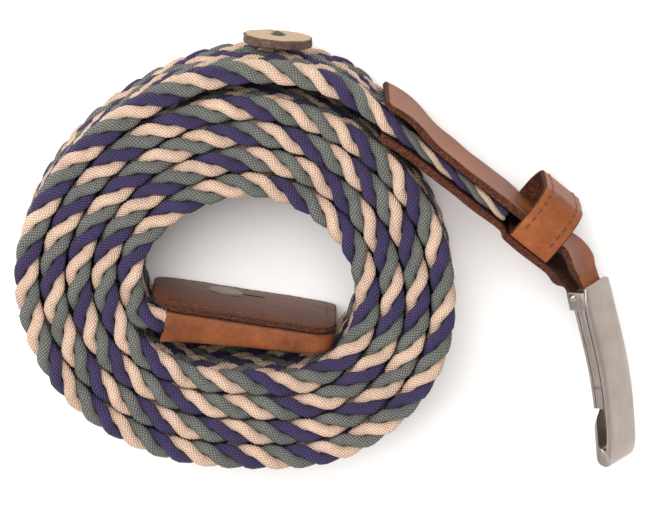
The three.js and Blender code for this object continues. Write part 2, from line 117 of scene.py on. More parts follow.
# Radius share round the coil: a closed cubic curve through the twelve values of coilShape
def coilShare(degrees):
    shape = np.array(belt["coilShape"])
    rows = len(shape)
    place = np.mod(degrees, 360) / (360 / rows)
    first = np.floor(place).astype(int)
    t = place - first
    before, start, end, after = (shape[(first + k) % rows] for k in (-1, 0, 1, 2))
    slopeIn, slopeOut = (end - before) / 2, (after - start) / 2
    return (
        start * (2 * t**3 - 3 * t**2 + 1)
        + slopeIn * (t**3 - 2 * t**2 + t)
        + end * (3 * t**2 - 2 * t**3)
        + slopeOut * (t**3 - t**2)
    )


# Spiral: the radius is the coil's own share less one pitch a turn, lifted where the strap leaves
def coilPoint(turns):
    turns = np.asarray(turns, float)
    bearing = belt["coilStart"] + 360 * turns
    lift = (1 + np.cos(np.pi * np.minimum(turns / belt["startLiftTurns"], 1))) / 2
    radius = belt["coilRadius"] * coilShare(bearing) - belt["turnPitch"] * turns + belt["startLift"] * lift
    return direction(bearing) * radius[..., None]


coilEntry = coilPoint(0.0)
bendStart = coilEntry + direction(belt["strapAngle"]) * belt["strapStraight"]
bendCorner = bendStart + direction(belt["strapAngle"]) * belt["bendLead"]
barCentre = bendCorner + direction(belt["foldAngle"]) * belt["bendTail"]
barCentre[2] = middleHeight
hinge = next(joint for joint in frame["joints"] if joint["name"] == "hook_swing")
coilShift = np.array(hinge["pos_m"]) * 1000 - barCentre
tipEntry = direction(belt["tipBearing"]) * belt["tipRadius"]


# Quadratic curve from the straight run to the bar, and its direction
def bendPoint(t):
    t = np.asarray(t, float)[..., None]
    return (1 - t) ** 2 * bendStart + 2 * t * (1 - t) * bendCorner + t**2 * barCentre * [1, 1, 0]


bendShares = np.linspace(0, 1, 400)
bendPoints = bendPoint(bendShares)
bendLengths = lengthsAlong(bendPoints)
bendLength = bendLengths[-1]
strapRun = belt["strapStraight"] + bendLength


# Frame of the strap at distances from the coil: straight, then along the bend with a growing twist
def strapFrame(distance):
    distance = np.atleast_1d(np.asarray(distance, float))
    past = np.clip(distance - belt["strapStraight"], 0, bendLength)
    share = np.interp(past, bendLengths, bendShares)
    origin = bendPoint(share)
    onStraight = distance < belt["strapStraight"]
    origin[onStraight] = coilEntry + direction(belt["strapAngle"]) * distance[onStraight, None]
    along = unit(
        2 * (1 - share)[:, None] * (bendCorner - bendStart)
        + 2 * share[:, None] * (barCentre * [1, 1, 0] - bendCorner)
    )
    origin = origin + along * np.maximum(distance - strapRun, 0)[:, None]
    origin[:, 2] = middleHeight
    turned = np.radians(belt["foldTwist"]) * smoothStep(distance, belt["strapStraight"], strapRun)
    across = np.cos(turned)[:, None] * upwards + np.sin(turned)[:, None] * np.cross(along, upwards)
    out = np.cross(across, along)
    return origin, along, out, across


# Value from a table of rows at rising places, eased between rows
def fromRows(places, values, at):
    places, values = np.asarray(places, float), np.asarray(values, float)
    at = np.asarray(at, float)
    low = np.clip(np.searchsorted(places, at, side="left") - 1, 0, len(places) - 2)
    share = smoothStep((at - places[low]) / (places[low + 1] - places[low]))
    return values[low] + (values[low + 1] - values[low]) * share


# Colour given as sRGB hex, in the linear values that Blender's nodes take
def fromHex(text):
    channels = [int(text[i : i + 2], 16) / 255 for i in (1, 3, 5)]
    linear = [c / 12.92 if c <= 0.04045 else ((c + 0.055) / 1.055) ** 2.4 for c in channels]
    return (*linear, 1.0)


# Sets a node's inputs, each one to a value or linked to a socket or to a node's first output
def setInputs(tree, node, inputs):
    for name, value in inputs.items():
        if isinstance(value, bpy.types.Node):
            value = value.outputs[0]
        if isinstance(value, bpy.types.NodeSocket):
            tree.links.new(value, node.inputs[name])
        else:
            node.inputs[name].default_value = value


def addNode(tree, kind, inputs=None, **settings):
    node = tree.nodes.new("ShaderNode" + kind)
    for name, value in settings.items():
        setattr(node, name, value)
    setInputs(tree, node, inputs or {})
    return node


def startMaterial(name):
    material = bpy.data.materials.new(name)
    material.use_nodes = True
    tree = material.node_tree
    tree.nodes.clear()
    shader = addNode(tree, "BsdfPrincipled")
    addNode(tree, "OutputMaterial", {"Surface": shader})
    return material, tree, shader


# Colour ramp from pairs of place and hex colour
def colourRamp(tree, factor, stops):
    ramp = addNode(tree, "ValToRGB", {"Fac": factor})
    elements = ramp.color_ramp.elements
    while len(elements) < len(stops):
        elements.new(0.5)
    for element, (place, colour) in zip(elements, stops):
        element.position = place
        element.color = fromHex(colour)
    return ramp.outputs["Color"]


# Meshes are worked out in millimetres of the coil's frame and placed in metres
def makeMesh(name, points, faces, material, body="belt", uv=None, attributes=None):
    mesh = bpy.data.meshes.new(name)
    placed = (np.asarray(points, float) + coilShift) / 1000
    faces = np.asarray(faces, np.int32)
    mesh.vertices.add(len(placed))
    mesh.vertices.foreach_set("co", placed.astype(np.float32).ravel())
    mesh.loops.add(faces.size)
    mesh.loops.foreach_set("vertex_index", faces.ravel())
    mesh.polygons.add(len(faces))
    mesh.polygons.foreach_set("loop_start", np.arange(0, faces.size, faces.shape[1], dtype=np.int32))
    mesh.polygons.foreach_set("use_smooth", np.full(len(faces), True))
    if uv is not None:
        layer = mesh.uv_layers.new(name="UVMap")
        layer.data.foreach_set("uv", np.asarray(uv, np.float32).ravel())
    for title, values in (attributes or {}).items():
        field = mesh.attributes.new(title, "FLOAT", "POINT")
        field.data.foreach_set("value", np.asarray(values, np.float32))
    mesh.update()
    mesh.validate()
    piece = bpy.data.objects.new(name, mesh)
    bpy.context.scene.collection.objects.link(piece)
    mesh.materials.append(material)
    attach(piece, body)
    return piece


# Quads between the rows and columns of a grid whose columns close on themselves
def ringFaces(rows, columns, closedRows=False):
    row = np.arange(rows if closedRows else rows - 1)[:, None]
    column = np.arange(columns)[None, :]
    here = row * columns + column
    beside = row * columns + (column + 1) % columns
    below = ((row + 1) % rows) * columns
    return np.stack([here, beside, below + (column + 1) % columns, below + column], -1).reshape(-1, 4)


# Joins several lists of points and faces (three or four corners) into one, quads made triangles
def joinParts(parts):
    points, faces, start = [], [], 0
    for partPoints, partFaces in parts:
        partPoints, partFaces = np.asarray(partPoints), np.asarray(partFaces)
        if partFaces.shape[1] == 4:
            partFaces = np.concatenate([partFaces[:, [0, 1, 2]], partFaces[:, [0, 2, 3]]])
        points.append(partPoints)
        faces.append(partFaces + start)
        start += len(partPoints)
    return np.concatenate(points), np.concatenate(faces)


# Triangles that close the first and the last ring of a grid of rows and columns
def endFans(rows, columns):
    step = np.arange(1, columns - 1)
    first = np.stack([np.zeros_like(step), step + 1, step], -1)
    last = np.stack([np.zeros_like(step), step, step + 1], -1) + (rows - 1) * columns
    return np.concatenate([first, last])


# Slow even waves over a surface: a sum of sines with seeded directions and phases
def ripple(x, y, wavelength, seed, count=7):
    random = np.random.default_rng(seed)
    angle = random.uniform(0, 2 * np.pi, count)
    phase = random.uniform(0, 2 * np.pi, count)
    scale = 2 * np.pi / (wavelength * random.uniform(0.6, 1.6, count))
    waves = [np.sin(s * (np.cos(a) * x + np.sin(a) * y) + p) for s, a, p in zip(scale, angle, phase)]
    return np.sum(waves, axis=0) / math.sqrt(count)


# Tube: circles (or ovals) of given half sizes along a path, square to it, closed by end caps
def tube(path, normals, halfOut, halfSide, sides):
    path = np.asarray(path, float)
    tangent = unit(np.gradient(path, axis=0))
    normal = unit(normals - np.sum(normals * tangent, -1, keepdims=True) * tangent)
    side = np.cross(tangent, normal)
    angle = 2 * np.pi * np.arange(sides) / sides
    halfOut = np.broadcast_to(halfOut, len(path))[:, None, None]
    halfSide = np.broadcast_to(halfSide, len(path))[:, None, None]
    rings = (
        path[:, None]
        + halfOut * np.cos(angle)[None, :, None] * normal[:, None]
        + halfSide * np.sin(angle)[None, :, None] * side[:, None]
    )
    starts, ends = [], []
    for share in (0.05, 0.6, 0.88):
        rise = math.sqrt(1 - share * share)
        starts.append(path[0] + (rings[0] - path[0]) * share - tangent[0] * halfOut[0, 0] * rise)
        ends.insert(0, path[-1] + (rings[-1] - path[-1]) * share + tangent[-1] * halfOut[-1, 0] * rise)
    rings = np.concatenate([np.array(starts), rings, np.array(ends)])
    return rings.reshape(-1, 3), ringFaces(len(rings), sides), endFans(len(rings), sides)


# The same tube as one list of points and one of triangles
def closedTube(path, normals, halfOut, halfSide, sides):
    points, faces, caps = tube(path, normals, halfOut, halfSide, sides)
    points, triangles = joinParts([(points, faces)])
    return points, np.concatenate([triangles, caps])


# Ribbon: a band of leather or metal between an under line and an upper line, with round edges.
# Each ring is a rectangle with round corners: across it the width, up it the way from under to upper.
def ribbon(under, upper, across, width, rounding, closed=False, spans=8):
    under, upper, across = (np.asarray(a, float) for a in (under, upper, across))
    count = len(under)
    across = np.broadcast_to(across, (count, 3))
    width = np.broadcast_to(np.asarray(width, float), count)
    rise = upper - under
    thickness = np.linalg.norm(rise, axis=1)
    normal = rise / thickness[:, None]
    corner = np.minimum(rounding, 0.45 * thickness)
    cornerAngles = np.linspace(0, np.pi / 2, 4)
    flat = np.linspace(-1, 1, spans + 1)[1:-1]
    template = []  # side share, up share, then corner sideways and upwards
    for sideSign, upSign, start in ((1, -1, -np.pi / 2), (1, 1, 0), (-1, 1, np.pi / 2), (-1, -1, np.pi)):
        angles = cornerAngles + start
        template += [(sideSign, upSign, math.cos(a), math.sin(a)) for a in angles]
        if (sideSign, upSign) == (1, 1):
            template += [(-f, 1, 0, 1) for f in flat]
        if (sideSign, upSign) == (-1, -1):
            template += [(f, -1, 0, -1) for f in flat]
    template = np.array(template)

    def ringAt(i, inset, forward):
        halfWidth = width[i] / 2 - corner[i]
        halfRise = thickness[i] / 2 - corner[i]
        sideways = template[:, 0] * np.maximum(halfWidth, 0.01) + template[:, 2] * (corner[i] - inset)
        upward = template[:, 1] * np.maximum(halfRise, 0.01) + template[:, 3] * (corner[i] - inset)
        centre = (under[i] + upper[i]) / 2 + forward
        return centre + sideways[:, None] * across[i] + upward[:, None] * normal[i]

    rings = [ringAt(i, 0.0, 0.0) for i in range(count)]
    columns = len(template)
    if not closed:
        middle = (under + upper) / 2
        back, ahead = unit(middle[0] - middle[1]), unit(middle[-1] - middle[-2])
        for angle in (30, 60, 90):
            s, c = math.sin(math.radians(angle)), math.cos(math.radians(angle))
            rings.insert(0, ringAt(0, corner[0] * (1 - c), back * corner[0] * s))
            rings.append(ringAt(count - 1, corner[-1] * (1 - c), ahead * corner[-1] * s))
        for end, at in ((0, 0), (len(rings), -1)):
            centre = rings[at].mean(0)
            flatRing = centre + (rings[at] - centre) * 0.02
            rings.insert(end, flatRing)
    points = np.array(rings).reshape(-1, 3)
    faces = ringFaces(len(rings), columns, closedRows=closed)
    points, triangles = joinParts([(points, faces[:, ::-1])])
    if closed:
        return points, triangles
    return points, np.concatenate([triangles, endFans(len(rings), columns)[:, ::-1]])


# Mercerised cotton braided over a core: soft sheen, a lattice of tiny raised threads
def makeCordMaterial(name, tones, fuzz):
    cordFinish = {
        "threadPitch": 0.8,  # millimetres along the cord from one thread crossing to the next
        "threadsRound": 10.0,
        "threadRelief": 0.0004,
    }
    material, tree, shader = startMaterial(name)
    uv = addNode(tree, "UVMap", uv_map="UVMap")
    split = addNode(tree, "SeparateXYZ", {"Vector": uv})
    along = addNode(tree, "Math", {0: split, 1: 1 / cordFinish["threadPitch"]}, operation="MULTIPLY")
    threads = addNode(
        tree, "Math", {0: split.outputs[1], 1: cordFinish["threadsRound"]}, operation="MULTIPLY"
    )
    plus = addNode(tree, "Math", {0: along, 1: threads}, operation="ADD")
    minus = addNode(tree, "Math", {0: along, 1: threads}, operation="SUBTRACT")
    waves = []
    for lattice in (plus, minus):
        turned = addNode(tree, "Math", {0: lattice, 1: math.pi}, operation="MULTIPLY")
        wave = addNode(tree, "Math", {0: turned}, operation="SINE")
        waves.append(addNode(tree, "Math", {0: wave}, operation="ABSOLUTE"))
    height = addNode(tree, "Math", {0: waves[0], 1: waves[1]}, operation="MULTIPLY")
    place = addNode(tree, "TexCoord")
    blotch = addNode(tree, "TexNoise", {"Vector": place.outputs["Object"], "Scale": 160.0, "Detail": 3.0})
    fibre = addNode(tree, "TexNoise", {"Vector": place.outputs["Object"], "Scale": 2600.0, "Detail": 2.0})
    lift = addNode(tree, "Math", {0: fibre.outputs["Fac"], 1: 0.5}, operation="MULTIPLY")
    both = addNode(tree, "Math", {0: height, 1: lift}, operation="ADD")
    # Colour by thread height: dark tone is painted shade between threads, light tone painted highlight on
    # crests
    threadShadeAndHighlight = colourRamp(tree, both, [(0.1, tones[0]), (0.62, tones[1]), (1.0, tones[2])])
    wide = addNode(
        tree, "MapRange",
        {"Value": blotch.outputs["Fac"], "From Min": 0.3, "From Max": 0.7, "To Min": 0.82, "To Max": 1.08},
    )
    mixed = addNode(tree, "VectorMath", {0: threadShadeAndHighlight, 1: wide}, operation="MULTIPLY")
    bump = addNode(tree, "Bump", {"Height": both, "Strength": 1.0, "Distance": cordFinish["threadRelief"]})
    setInputs(
        tree, shader,
        {
            "Base Color": mixed, "Roughness": 0.82, "Normal": bump, "Specular IOR Level": 0.25,
            "Sheen Weight": fuzz, "Sheen Roughness": 0.45,
        },
    )
    return material


# Vegetable-tanned cowhide, waxed: fine pore grain, warm mottling, raw edges dark and fibrous
def makeLeatherMaterial(name, tones, edgeTones, gloss):
    leatherFinish = {"poreSize": 0.55, "mottleSize": 9.0, "grainRelief": 0.00012, "edgeRelief": 0.0004}
    material, tree, shader = startMaterial(name)
    place = addNode(tree, "TexCoord").outputs["Object"]
    pores = addNode(
        tree, "TexVoronoi", {"Vector": place, "Scale": 1000 / leatherFinish["poreSize"]}, feature="F1"
    )
    mottle = addNode(
        tree, "TexNoise",
        {"Vector": place, "Scale": 1000 / leatherFinish["mottleSize"], "Detail": 5.0, "Roughness": 0.6},
    )
    scuffs = addNode(tree, "TexNoise", {"Vector": place, "Scale": 900.0, "Detail": 6.0, "Roughness": 0.7})
    fibre = addNode(tree, "TexNoise", {"Vector": place, "Scale": 1700.0, "Detail": 4.0, "Roughness": 0.75})
    edge = addNode(tree, "Attribute", attribute_name="edge").outputs["Fac"]
    face = colourRamp(tree, mottle.outputs["Fac"], [(0.28, tones[0]), (0.5, tones[1]), (0.74, tones[2])])
    speck = addNode(
        tree, "MapRange",
        {"Value": scuffs.outputs["Fac"], "From Min": 0.35, "From Max": 0.65, "To Min": 0.86, "To Max": 1.1},
    )
    faceTone = addNode(tree, "VectorMath", {0: face, 1: speck}, operation="MULTIPLY")
    raw = colourRamp(
        tree, fibre.outputs["Fac"], [(0.36, edgeTones[0]), (0.52, edgeTones[1]), (0.66, edgeTones[2])]
    )
    frayed = addNode(tree, "Math", {0: fibre.outputs["Fac"], 1: 0.5}, operation="SUBTRACT")
    reach = addNode(tree, "Math", {0: frayed, 1: 1.1, 2: edge}, operation="MULTIPLY_ADD")
    mask = addNode(tree, "MapRange", {"Value": reach, "From Min": 0.42, "From Max": 0.62})
    colour = addNode(tree, "Mix", {0: mask, 6: faceTone, 7: raw}, data_type="RGBA")
    roughness = addNode(
        tree, "MapRange", {"Value": mottle.outputs["Fac"], "To Min": gloss - 0.08, "To Max": gloss + 0.14}
    )
    dull = addNode(tree, "Mix", {0: mask, 2: roughness, 3: 0.9}, data_type="FLOAT")
    grain = addNode(
        tree, "Bump",
        {"Height": pores.outputs["Distance"], "Strength": 0.35, "Distance": leatherFinish["grainRelief"]},
    )
    creased = addNode(
        tree, "Bump",
        {
            "Height": scuffs.outputs["Fac"], "Strength": 0.3, "Distance": leatherFinish["grainRelief"],
            "Normal": grain,
        },
    )
    fibrous = addNode(tree, "Math", {0: fibre.outputs["Fac"], 1: mask}, operation="MULTIPLY")
    torn = addNode(
        tree, "Bump",
        {"Height": fibrous, "Strength": 1.0, "Distance": leatherFinish["edgeRelief"], "Normal": creased},
    )
    setInputs(
        tree, shader,
        {"Base Color": colour.outputs[2], "Roughness": dull, "Normal": torn, "Specular IOR Level": 0.24},
    )
    return material


# Nickel-plated zinc casting, satin brushed: fine lines along it, soft broad highlights
def makeMetalMaterial(name, tones, roughnessLow, roughnessHigh, stretch):
    material, tree, shader = startMaterial(name)
    place = addNode(tree, "TexCoord").outputs["Object"]
    turned = addNode(
        tree, "Mapping", {"Vector": place, "Rotation": (0, 0, math.radians(12)), "Scale": stretch}
    )
    lines = addNode(tree, "TexNoise", {"Vector": turned, "Scale": 1.0, "Detail": 4.0, "Roughness": 0.6})
    cloud = addNode(tree, "TexNoise", {"Vector": place, "Scale": 140.0, "Detail": 3.0})
    colour = colourRamp(tree, cloud.outputs["Fac"], [(0.3, tones[0]), (0.7, tones[1])])
    rough = addNode(
        tree, "MapRange",
        {
            "Value": lines.outputs["Fac"], "From Min": 0.3, "From Max": 0.7, "To Min": roughnessLow,
            "To Max": roughnessHigh,
        },
    )
    bump = addNode(tree, "Bump", {"Height": lines.outputs["Fac"], "Strength": 0.12, "Distance": 0.00008})
    setInputs(tree, shader, {"Base Color": colour, "Metallic": 0.95, "Roughness": rough, "Normal": bump})
    return material


# Slice of a hazel branch, sanded: pale growth rings, and rough bark round it
def makeWoodMaterial():
    woodFinish = {"ringWidth": 0.9, "barkRelief": 0.0004}
    material, tree, shader = startMaterial("sanded_branch_wood")
    uv = addNode(tree, "UVMap", uv_map="UVMap")
    place = addNode(tree, "TexCoord").outputs["Object"]
    rings = addNode(
        tree, "TexWave",
        {
            "Vector": uv, "Scale": 1 / (2 * woodFinish["ringWidth"]), "Distortion": 2.2, "Detail": 3.0,
            "Detail Scale": 0.8,
        },
        wave_type="RINGS", rings_direction="Z",
    )
    grain = addNode(tree, "TexNoise", {"Vector": place, "Scale": 1400.0, "Detail": 4.0})
    barkAndCrackShade = addNode(tree, "Attribute", attribute_name="barkAndCrackShade").outputs["Fac"]
    rough = addNode(tree, "TexNoise", {"Vector": place, "Scale": 900.0, "Detail": 6.0, "Roughness": 0.75})
    pale = colourRamp(tree, rings.outputs["Fac"], [(0.0, "#8E7254"), (0.45, "#AC9070"), (1.0, "#BBA284")])
    speck = addNode(tree, "MapRange", {"Value": grain.outputs["Fac"], "To Min": 0.86, "To Max": 1.12})
    face = addNode(tree, "VectorMath", {0: pale, 1: speck}, operation="MULTIPLY")
    dark = colourRamp(tree, rough.outputs["Fac"], [(0.35, "#2E201A"), (0.55, "#5A4234"), (0.72, "#8A6E5A")])
    # The dark bark tone also serves as painted shade inside the button's drying crack
    colour = addNode(tree, "Mix", {0: barkAndCrackShade, 6: face, 7: dark}, data_type="RGBA")
    height = addNode(tree, "Math", {0: rough.outputs["Fac"], 1: barkAndCrackShade}, operation="MULTIPLY")
    bump = addNode(tree, "Bump", {"Height": height, "Strength": 1.0, "Distance": woodFinish["barkRelief"]})
    setInputs(tree, shader, {"Base Color": colour.outputs[2], "Roughness": 0.72, "Normal": bump})
    return material


# Each cord's first tone is painted shade in the thread valleys, its last tone painted highlight on the
# crests
creamCord = makeCordMaterial("cotton_cord_cream", ("#A98570", "#E0BDA4", "#EFD0B8"), 0.05)
greyCord = makeCordMaterial("cotton_cord_grey_green", ("#2A2B29", "#686963", "#888982"), 0.04)
purpleCord = makeCordMaterial("cotton_cord_purple", ("#150F22", "#382C52", "#4C3F6C"), 0.04)
strapLeather = makeLeatherMaterial(
    "waxed_cowhide_tan", ("#6A3414", "#81441D", "#955427"), ("#2A120B", "#4A2416", "#6E3C26"), 0.5
)
tipLeather = makeLeatherMaterial(
    "waxed_cowhide_dark", ("#4E2613", "#62331C", "#713F24"), ("#21110C", "#3F2318", "#5F3A2A"), 0.44
)
wallLeather = makeLeatherMaterial(
    "waxed_cowhide_russet", ("#532810", "#6B3718", "#7E451F"), ("#21110C", "#3F2318", "#5F3A2A"), 0.5
)
hookMetal = makeMetalMaterial("satin_nickel", ("#9A8F88", "#A89D96"), 0.3, 0.42, (3000, 250, 3000))
studMetal = makeMetalMaterial("dull_nickel", ("#8C8078", "#9C9088"), 0.42, 0.55, (900, 900, 900))
buttonWood = makeWoodMaterial()
print("materials made")


# Stitching thread: waxed twisted linen
def makeThreadMaterial(name, tones):
    material, tree, shader = startMaterial(name)
    place = addNode(tree, "TexCoord").outputs["Object"]
    twist = addNode(tree, "TexNoise", {"Vector": place, "Scale": 3000.0, "Detail": 3.0})
    bump = addNode(tree, "Bump", {"Height": twist.outputs["Fac"], "Strength": 0.8, "Distance": 0.0001})
    setInputs(
        tree, shader,
        {
            "Base Color": colourRamp(tree, twist.outputs["Fac"], [(0.3, tones[0]), (0.7, tones[1])]),
            "Roughness": 0.75, "Normal": bump,
        },
    )
    return material


brownThread = makeThreadMaterial("linen_thread_brown", ("#3A1F16", "#5E3524"))
tanThread = makeThreadMaterial("linen_thread_tan", ("#4A2C1A", "#875838"))
slitShade = makeThreadMaterial("cut_leather_shade", ("#1A0D08", "#2A160E"))
greenThread = makeThreadMaterial("linen_thread_green", ("#272C24", "#4C5546"))


# Middle line of the band, evenly spaced from its end in the cap to its end in the strap, with the
# outward direction, the thickness and the width there
def bandSections(spacing=0.5):
    bandEnd = belt["strapLead"] + belt["bandInStrap"]
    strapPart = coilEntry + direction(belt["strapAngle"]) * np.linspace(bandEnd, 1, 90)[:, None]
    coilPart = coilPoint(np.linspace(0, belt["coilTurns"], 2400))
    tipAlong = direction(belt["tipAngle"])
    exitAlong = unit(coilPart[-1] - coilPart[-2])
    bendEnd = tipEntry - tipAlong * belt["tipCurlEnd"]
    curl = cubicCurve(coilPart[-1], coilPart[-1] + exitAlong * 6.5, bendEnd - tipAlong * 5, bendEnd, 60)[1:]
    tipPart = tipEntry + tipAlong * np.linspace(0, belt["bandInTip"], 70)[:, None]
    line = np.concatenate([strapPart, coilPart, curl, tipPart])[::-1]
    lengths = lengthsAlong(line)
    places = np.arange(0, lengths[-1], spacing)
    line = valuesAt(places, lengths, line)
    ahead = unit(np.gradient(line, axis=0))
    out = np.stack([-ahead[:, 1], ahead[:, 0], np.zeros(len(ahead))], -1)
    alongStrap = (line - coilEntry) @ direction(belt["strapAngle"])
    alongTip = (line - tipEntry) @ direction(belt["tipAngle"])
    pressed = belt["pressedThickness"]
    gap = belt["seatGap"]
    full = belt["bandThickness"]
    nearStrap = (lengths[-1] - places) < bandEnd + 1
    halfFace = fromRows(*strapTable("outer"), alongStrap) - gap
    thickness = np.where(nearStrap, 2 * halfFace, full)
    width = np.where(nearStrap, fromRows(*strapTable("width"), alongStrap), belt["bandWidth"])
    nearTip = places < belt["bandInTip"] + 14
    inTip = np.clip(alongTip / belt["tipLength"], 0, 1)
    thickness = np.where(nearTip, full + (pressed - full) * inTip, thickness)
    narrow = belt["bandWidth"] - 3.0
    width = np.where(
        nearTip, fromRows([-16, -8.5, 0], [belt["bandWidth"], narrow, narrow], alongTip), width
    )
    return places, line, out, thickness, width


# Rows of the strap's table: distance from the coil, width, leather, and how far each layer's
# facing side lies from the strap's middle
def strapTable(column):
    width, leather = belt["bandWidth"], belt["strapLeather"]
    bandFace = belt["bandThickness"] / 2 + belt["seatGap"]
    pressedFace = belt["pressedThickness"] / 2 + belt["seatGap"]
    bandEnd = belt["strapLead"] + belt["bandInStrap"]
    footUnder, barFace = belt["footUnder"], belt["barFace"]
    keeperEnd = belt["keeperStart"] + belt["keeperWidth"]
    rows = [
        (0.0, width, 0.6 * leather, bandFace, bandFace),
        (belt["strapLead"], 0.98 * width, 0.8 * leather, 0.86 * bandFace, 0.86 * bandFace),
        (bandEnd - 0.65 * belt["bandInStrap"], 0.93 * width, leather, pressedFace, pressedFace),
        (bandEnd, 0.86 * width, leather, pressedFace, pressedFace),
        (belt["keeperStart"] - belt["seatGap"], 0.86 * width, leather, pressedFace, footUnder),
        (keeperEnd + belt["seatGap"], 0.84 * width, leather, barFace, footUnder),
        (strapRun - 0.42 * bendLength, 0.6 * width, leather, barFace, barFace),
        (strapRun - 0.27 * bendLength, belt["foldWidth"], belt["foldLeather"], barFace, barFace),
    ]
    columns = dict(zip(("at", "width", "leather", "outer", "inner"), zip(*rows)))
    return columns["at"], columns[column]


# Flat braid of seventeen cords. Each cord's way across the band is a rounded triangle wave of the
# length along it, and its height swaps between two levels as it goes over two cords and under two.
def makeBraid():
    braid = {
        "cords": 17,
        "order": "cpgcpgcpgcpgcpgcg",  # clockwise: cream, purple, grey
        "edgePitch": 5.45,  # along the band's edge from one cord to the next
        "cordAcross": 2.75,
        "cordThrough": 2.75,
        "sides": 12,
        "step": 1.1,
        "edgeRoundness": 0.985,
        "edgeBulge": 0.22,
        "edgeTurn": 0.5,  # share of an edge pitch either side in which a cord changes faces
        "startPhase": 0.0,
    }
    places, line, out, thickness, width = bandSections()
    step = np.arange(0.4, places[-1] - 0.4, braid["step"])
    centre = valuesAt(step, places, line)
    outward = unit(valuesAt(step, places, out))
    bandT = np.interp(step, places, thickness)
    bandW = np.interp(step, places, width)
    half = braid["cords"] / 2
    colours = {
        "c": ("cords_cream", creamCord), "g": ("cords_grey_green", greyCord),
        "p": ("cords_purple", purpleCord),
    }
    made = {key: [] for key in colours}
    for index, key in enumerate(braid["order"]):
        phase = np.mod(step / braid["edgePitch"] + braid["startPhase"] - index, braid["cords"])
        roundness = braid["edgeRoundness"]
        across = np.arcsin(roundness * np.cos(np.pi * phase / half)) / math.asin(roundness)
        x = np.mod(phase, half)
        turn = braid["edgeTurn"]
        height = 1 - 2 * smoothStep(x, -turn, turn) - 2 * smoothStep(x, half - turn, half + turn)
        for crossing in range(7):
            sign = 2 if crossing % 2 == 0 else -2
            height = height + sign * smoothStep(x, 1.25 + crossing - 0.3, 1.25 + crossing + 0.3)
        pressed = bandT / belt["bandThickness"]
        halfThrough = braid["cordThrough"] / 2 * np.minimum(1, pressed * 1.02)
        halfAcross = braid["cordAcross"] / 2 * (1 + 0.12 * (1 - pressed))
        bulge = braid["edgeBulge"] * smoothStep(np.abs(across), 0.6, 1) * smoothStep(pressed, 0.8, 1)
        path = (
            centre
            + outward * (height * (bandT / 2 - halfThrough + bulge))[:, None]
            + upwards * (middleHeight + across * (bandW / 2 - halfAcross))[:, None]
        )
        points, faces, caps = tube(path, outward, halfThrough, halfAcross, braid["sides"])
        rows = len(points) // braid["sides"]
        ringPaths = points.reshape(rows, braid["sides"], 3)
        length = lengthsAlong(ringPaths.mean(1))
        made[key].append((points, faces, caps, length + 37.0 * index))
    for key, cords in made.items():
        points, faces, uv, start = [], [], [], 0
        sides = braid["sides"]
        for cordPoints, cordFaces, caps, length in cords:
            rows = len(length)
            points.append(cordPoints)
            quads = np.concatenate([cordFaces[:, [0, 1, 2]], cordFaces[:, [0, 2, 3]]])
            column = np.tile(np.arange(sides), rows - 1)
            row = np.repeat(np.arange(rows - 1), sides)
            u0, u1 = length[row], length[row + 1]
            v0, v1 = column / sides, (column + 1) / sides
            corners = np.stack([[u0, v0], [u0, v1], [u1, v1], [u1, v0]]).transpose(2, 0, 1)
            capUv = np.zeros((len(caps), 3, 2))
            faces.append(np.concatenate([quads, caps]) + start)
            uv.append(np.concatenate([corners[:, [0, 1, 2]], corners[:, [0, 2, 3]], capUv]))
            start += len(cordPoints)
        name, material = colours[key]
        makeMesh(name, np.concatenate(points), np.concatenate(faces), material, uv=np.concatenate(uv))
        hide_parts("woven_band")


makeBraid()


# Share of each vertex that belongs to a raw edge: how near it lies to the strip's two long edges
def edgeShare(points, origin, across, halfWidth, reach):
    return smoothStep(np.abs(np.sum((points - origin) * across, -1)), halfWidth - reach, halfWidth)


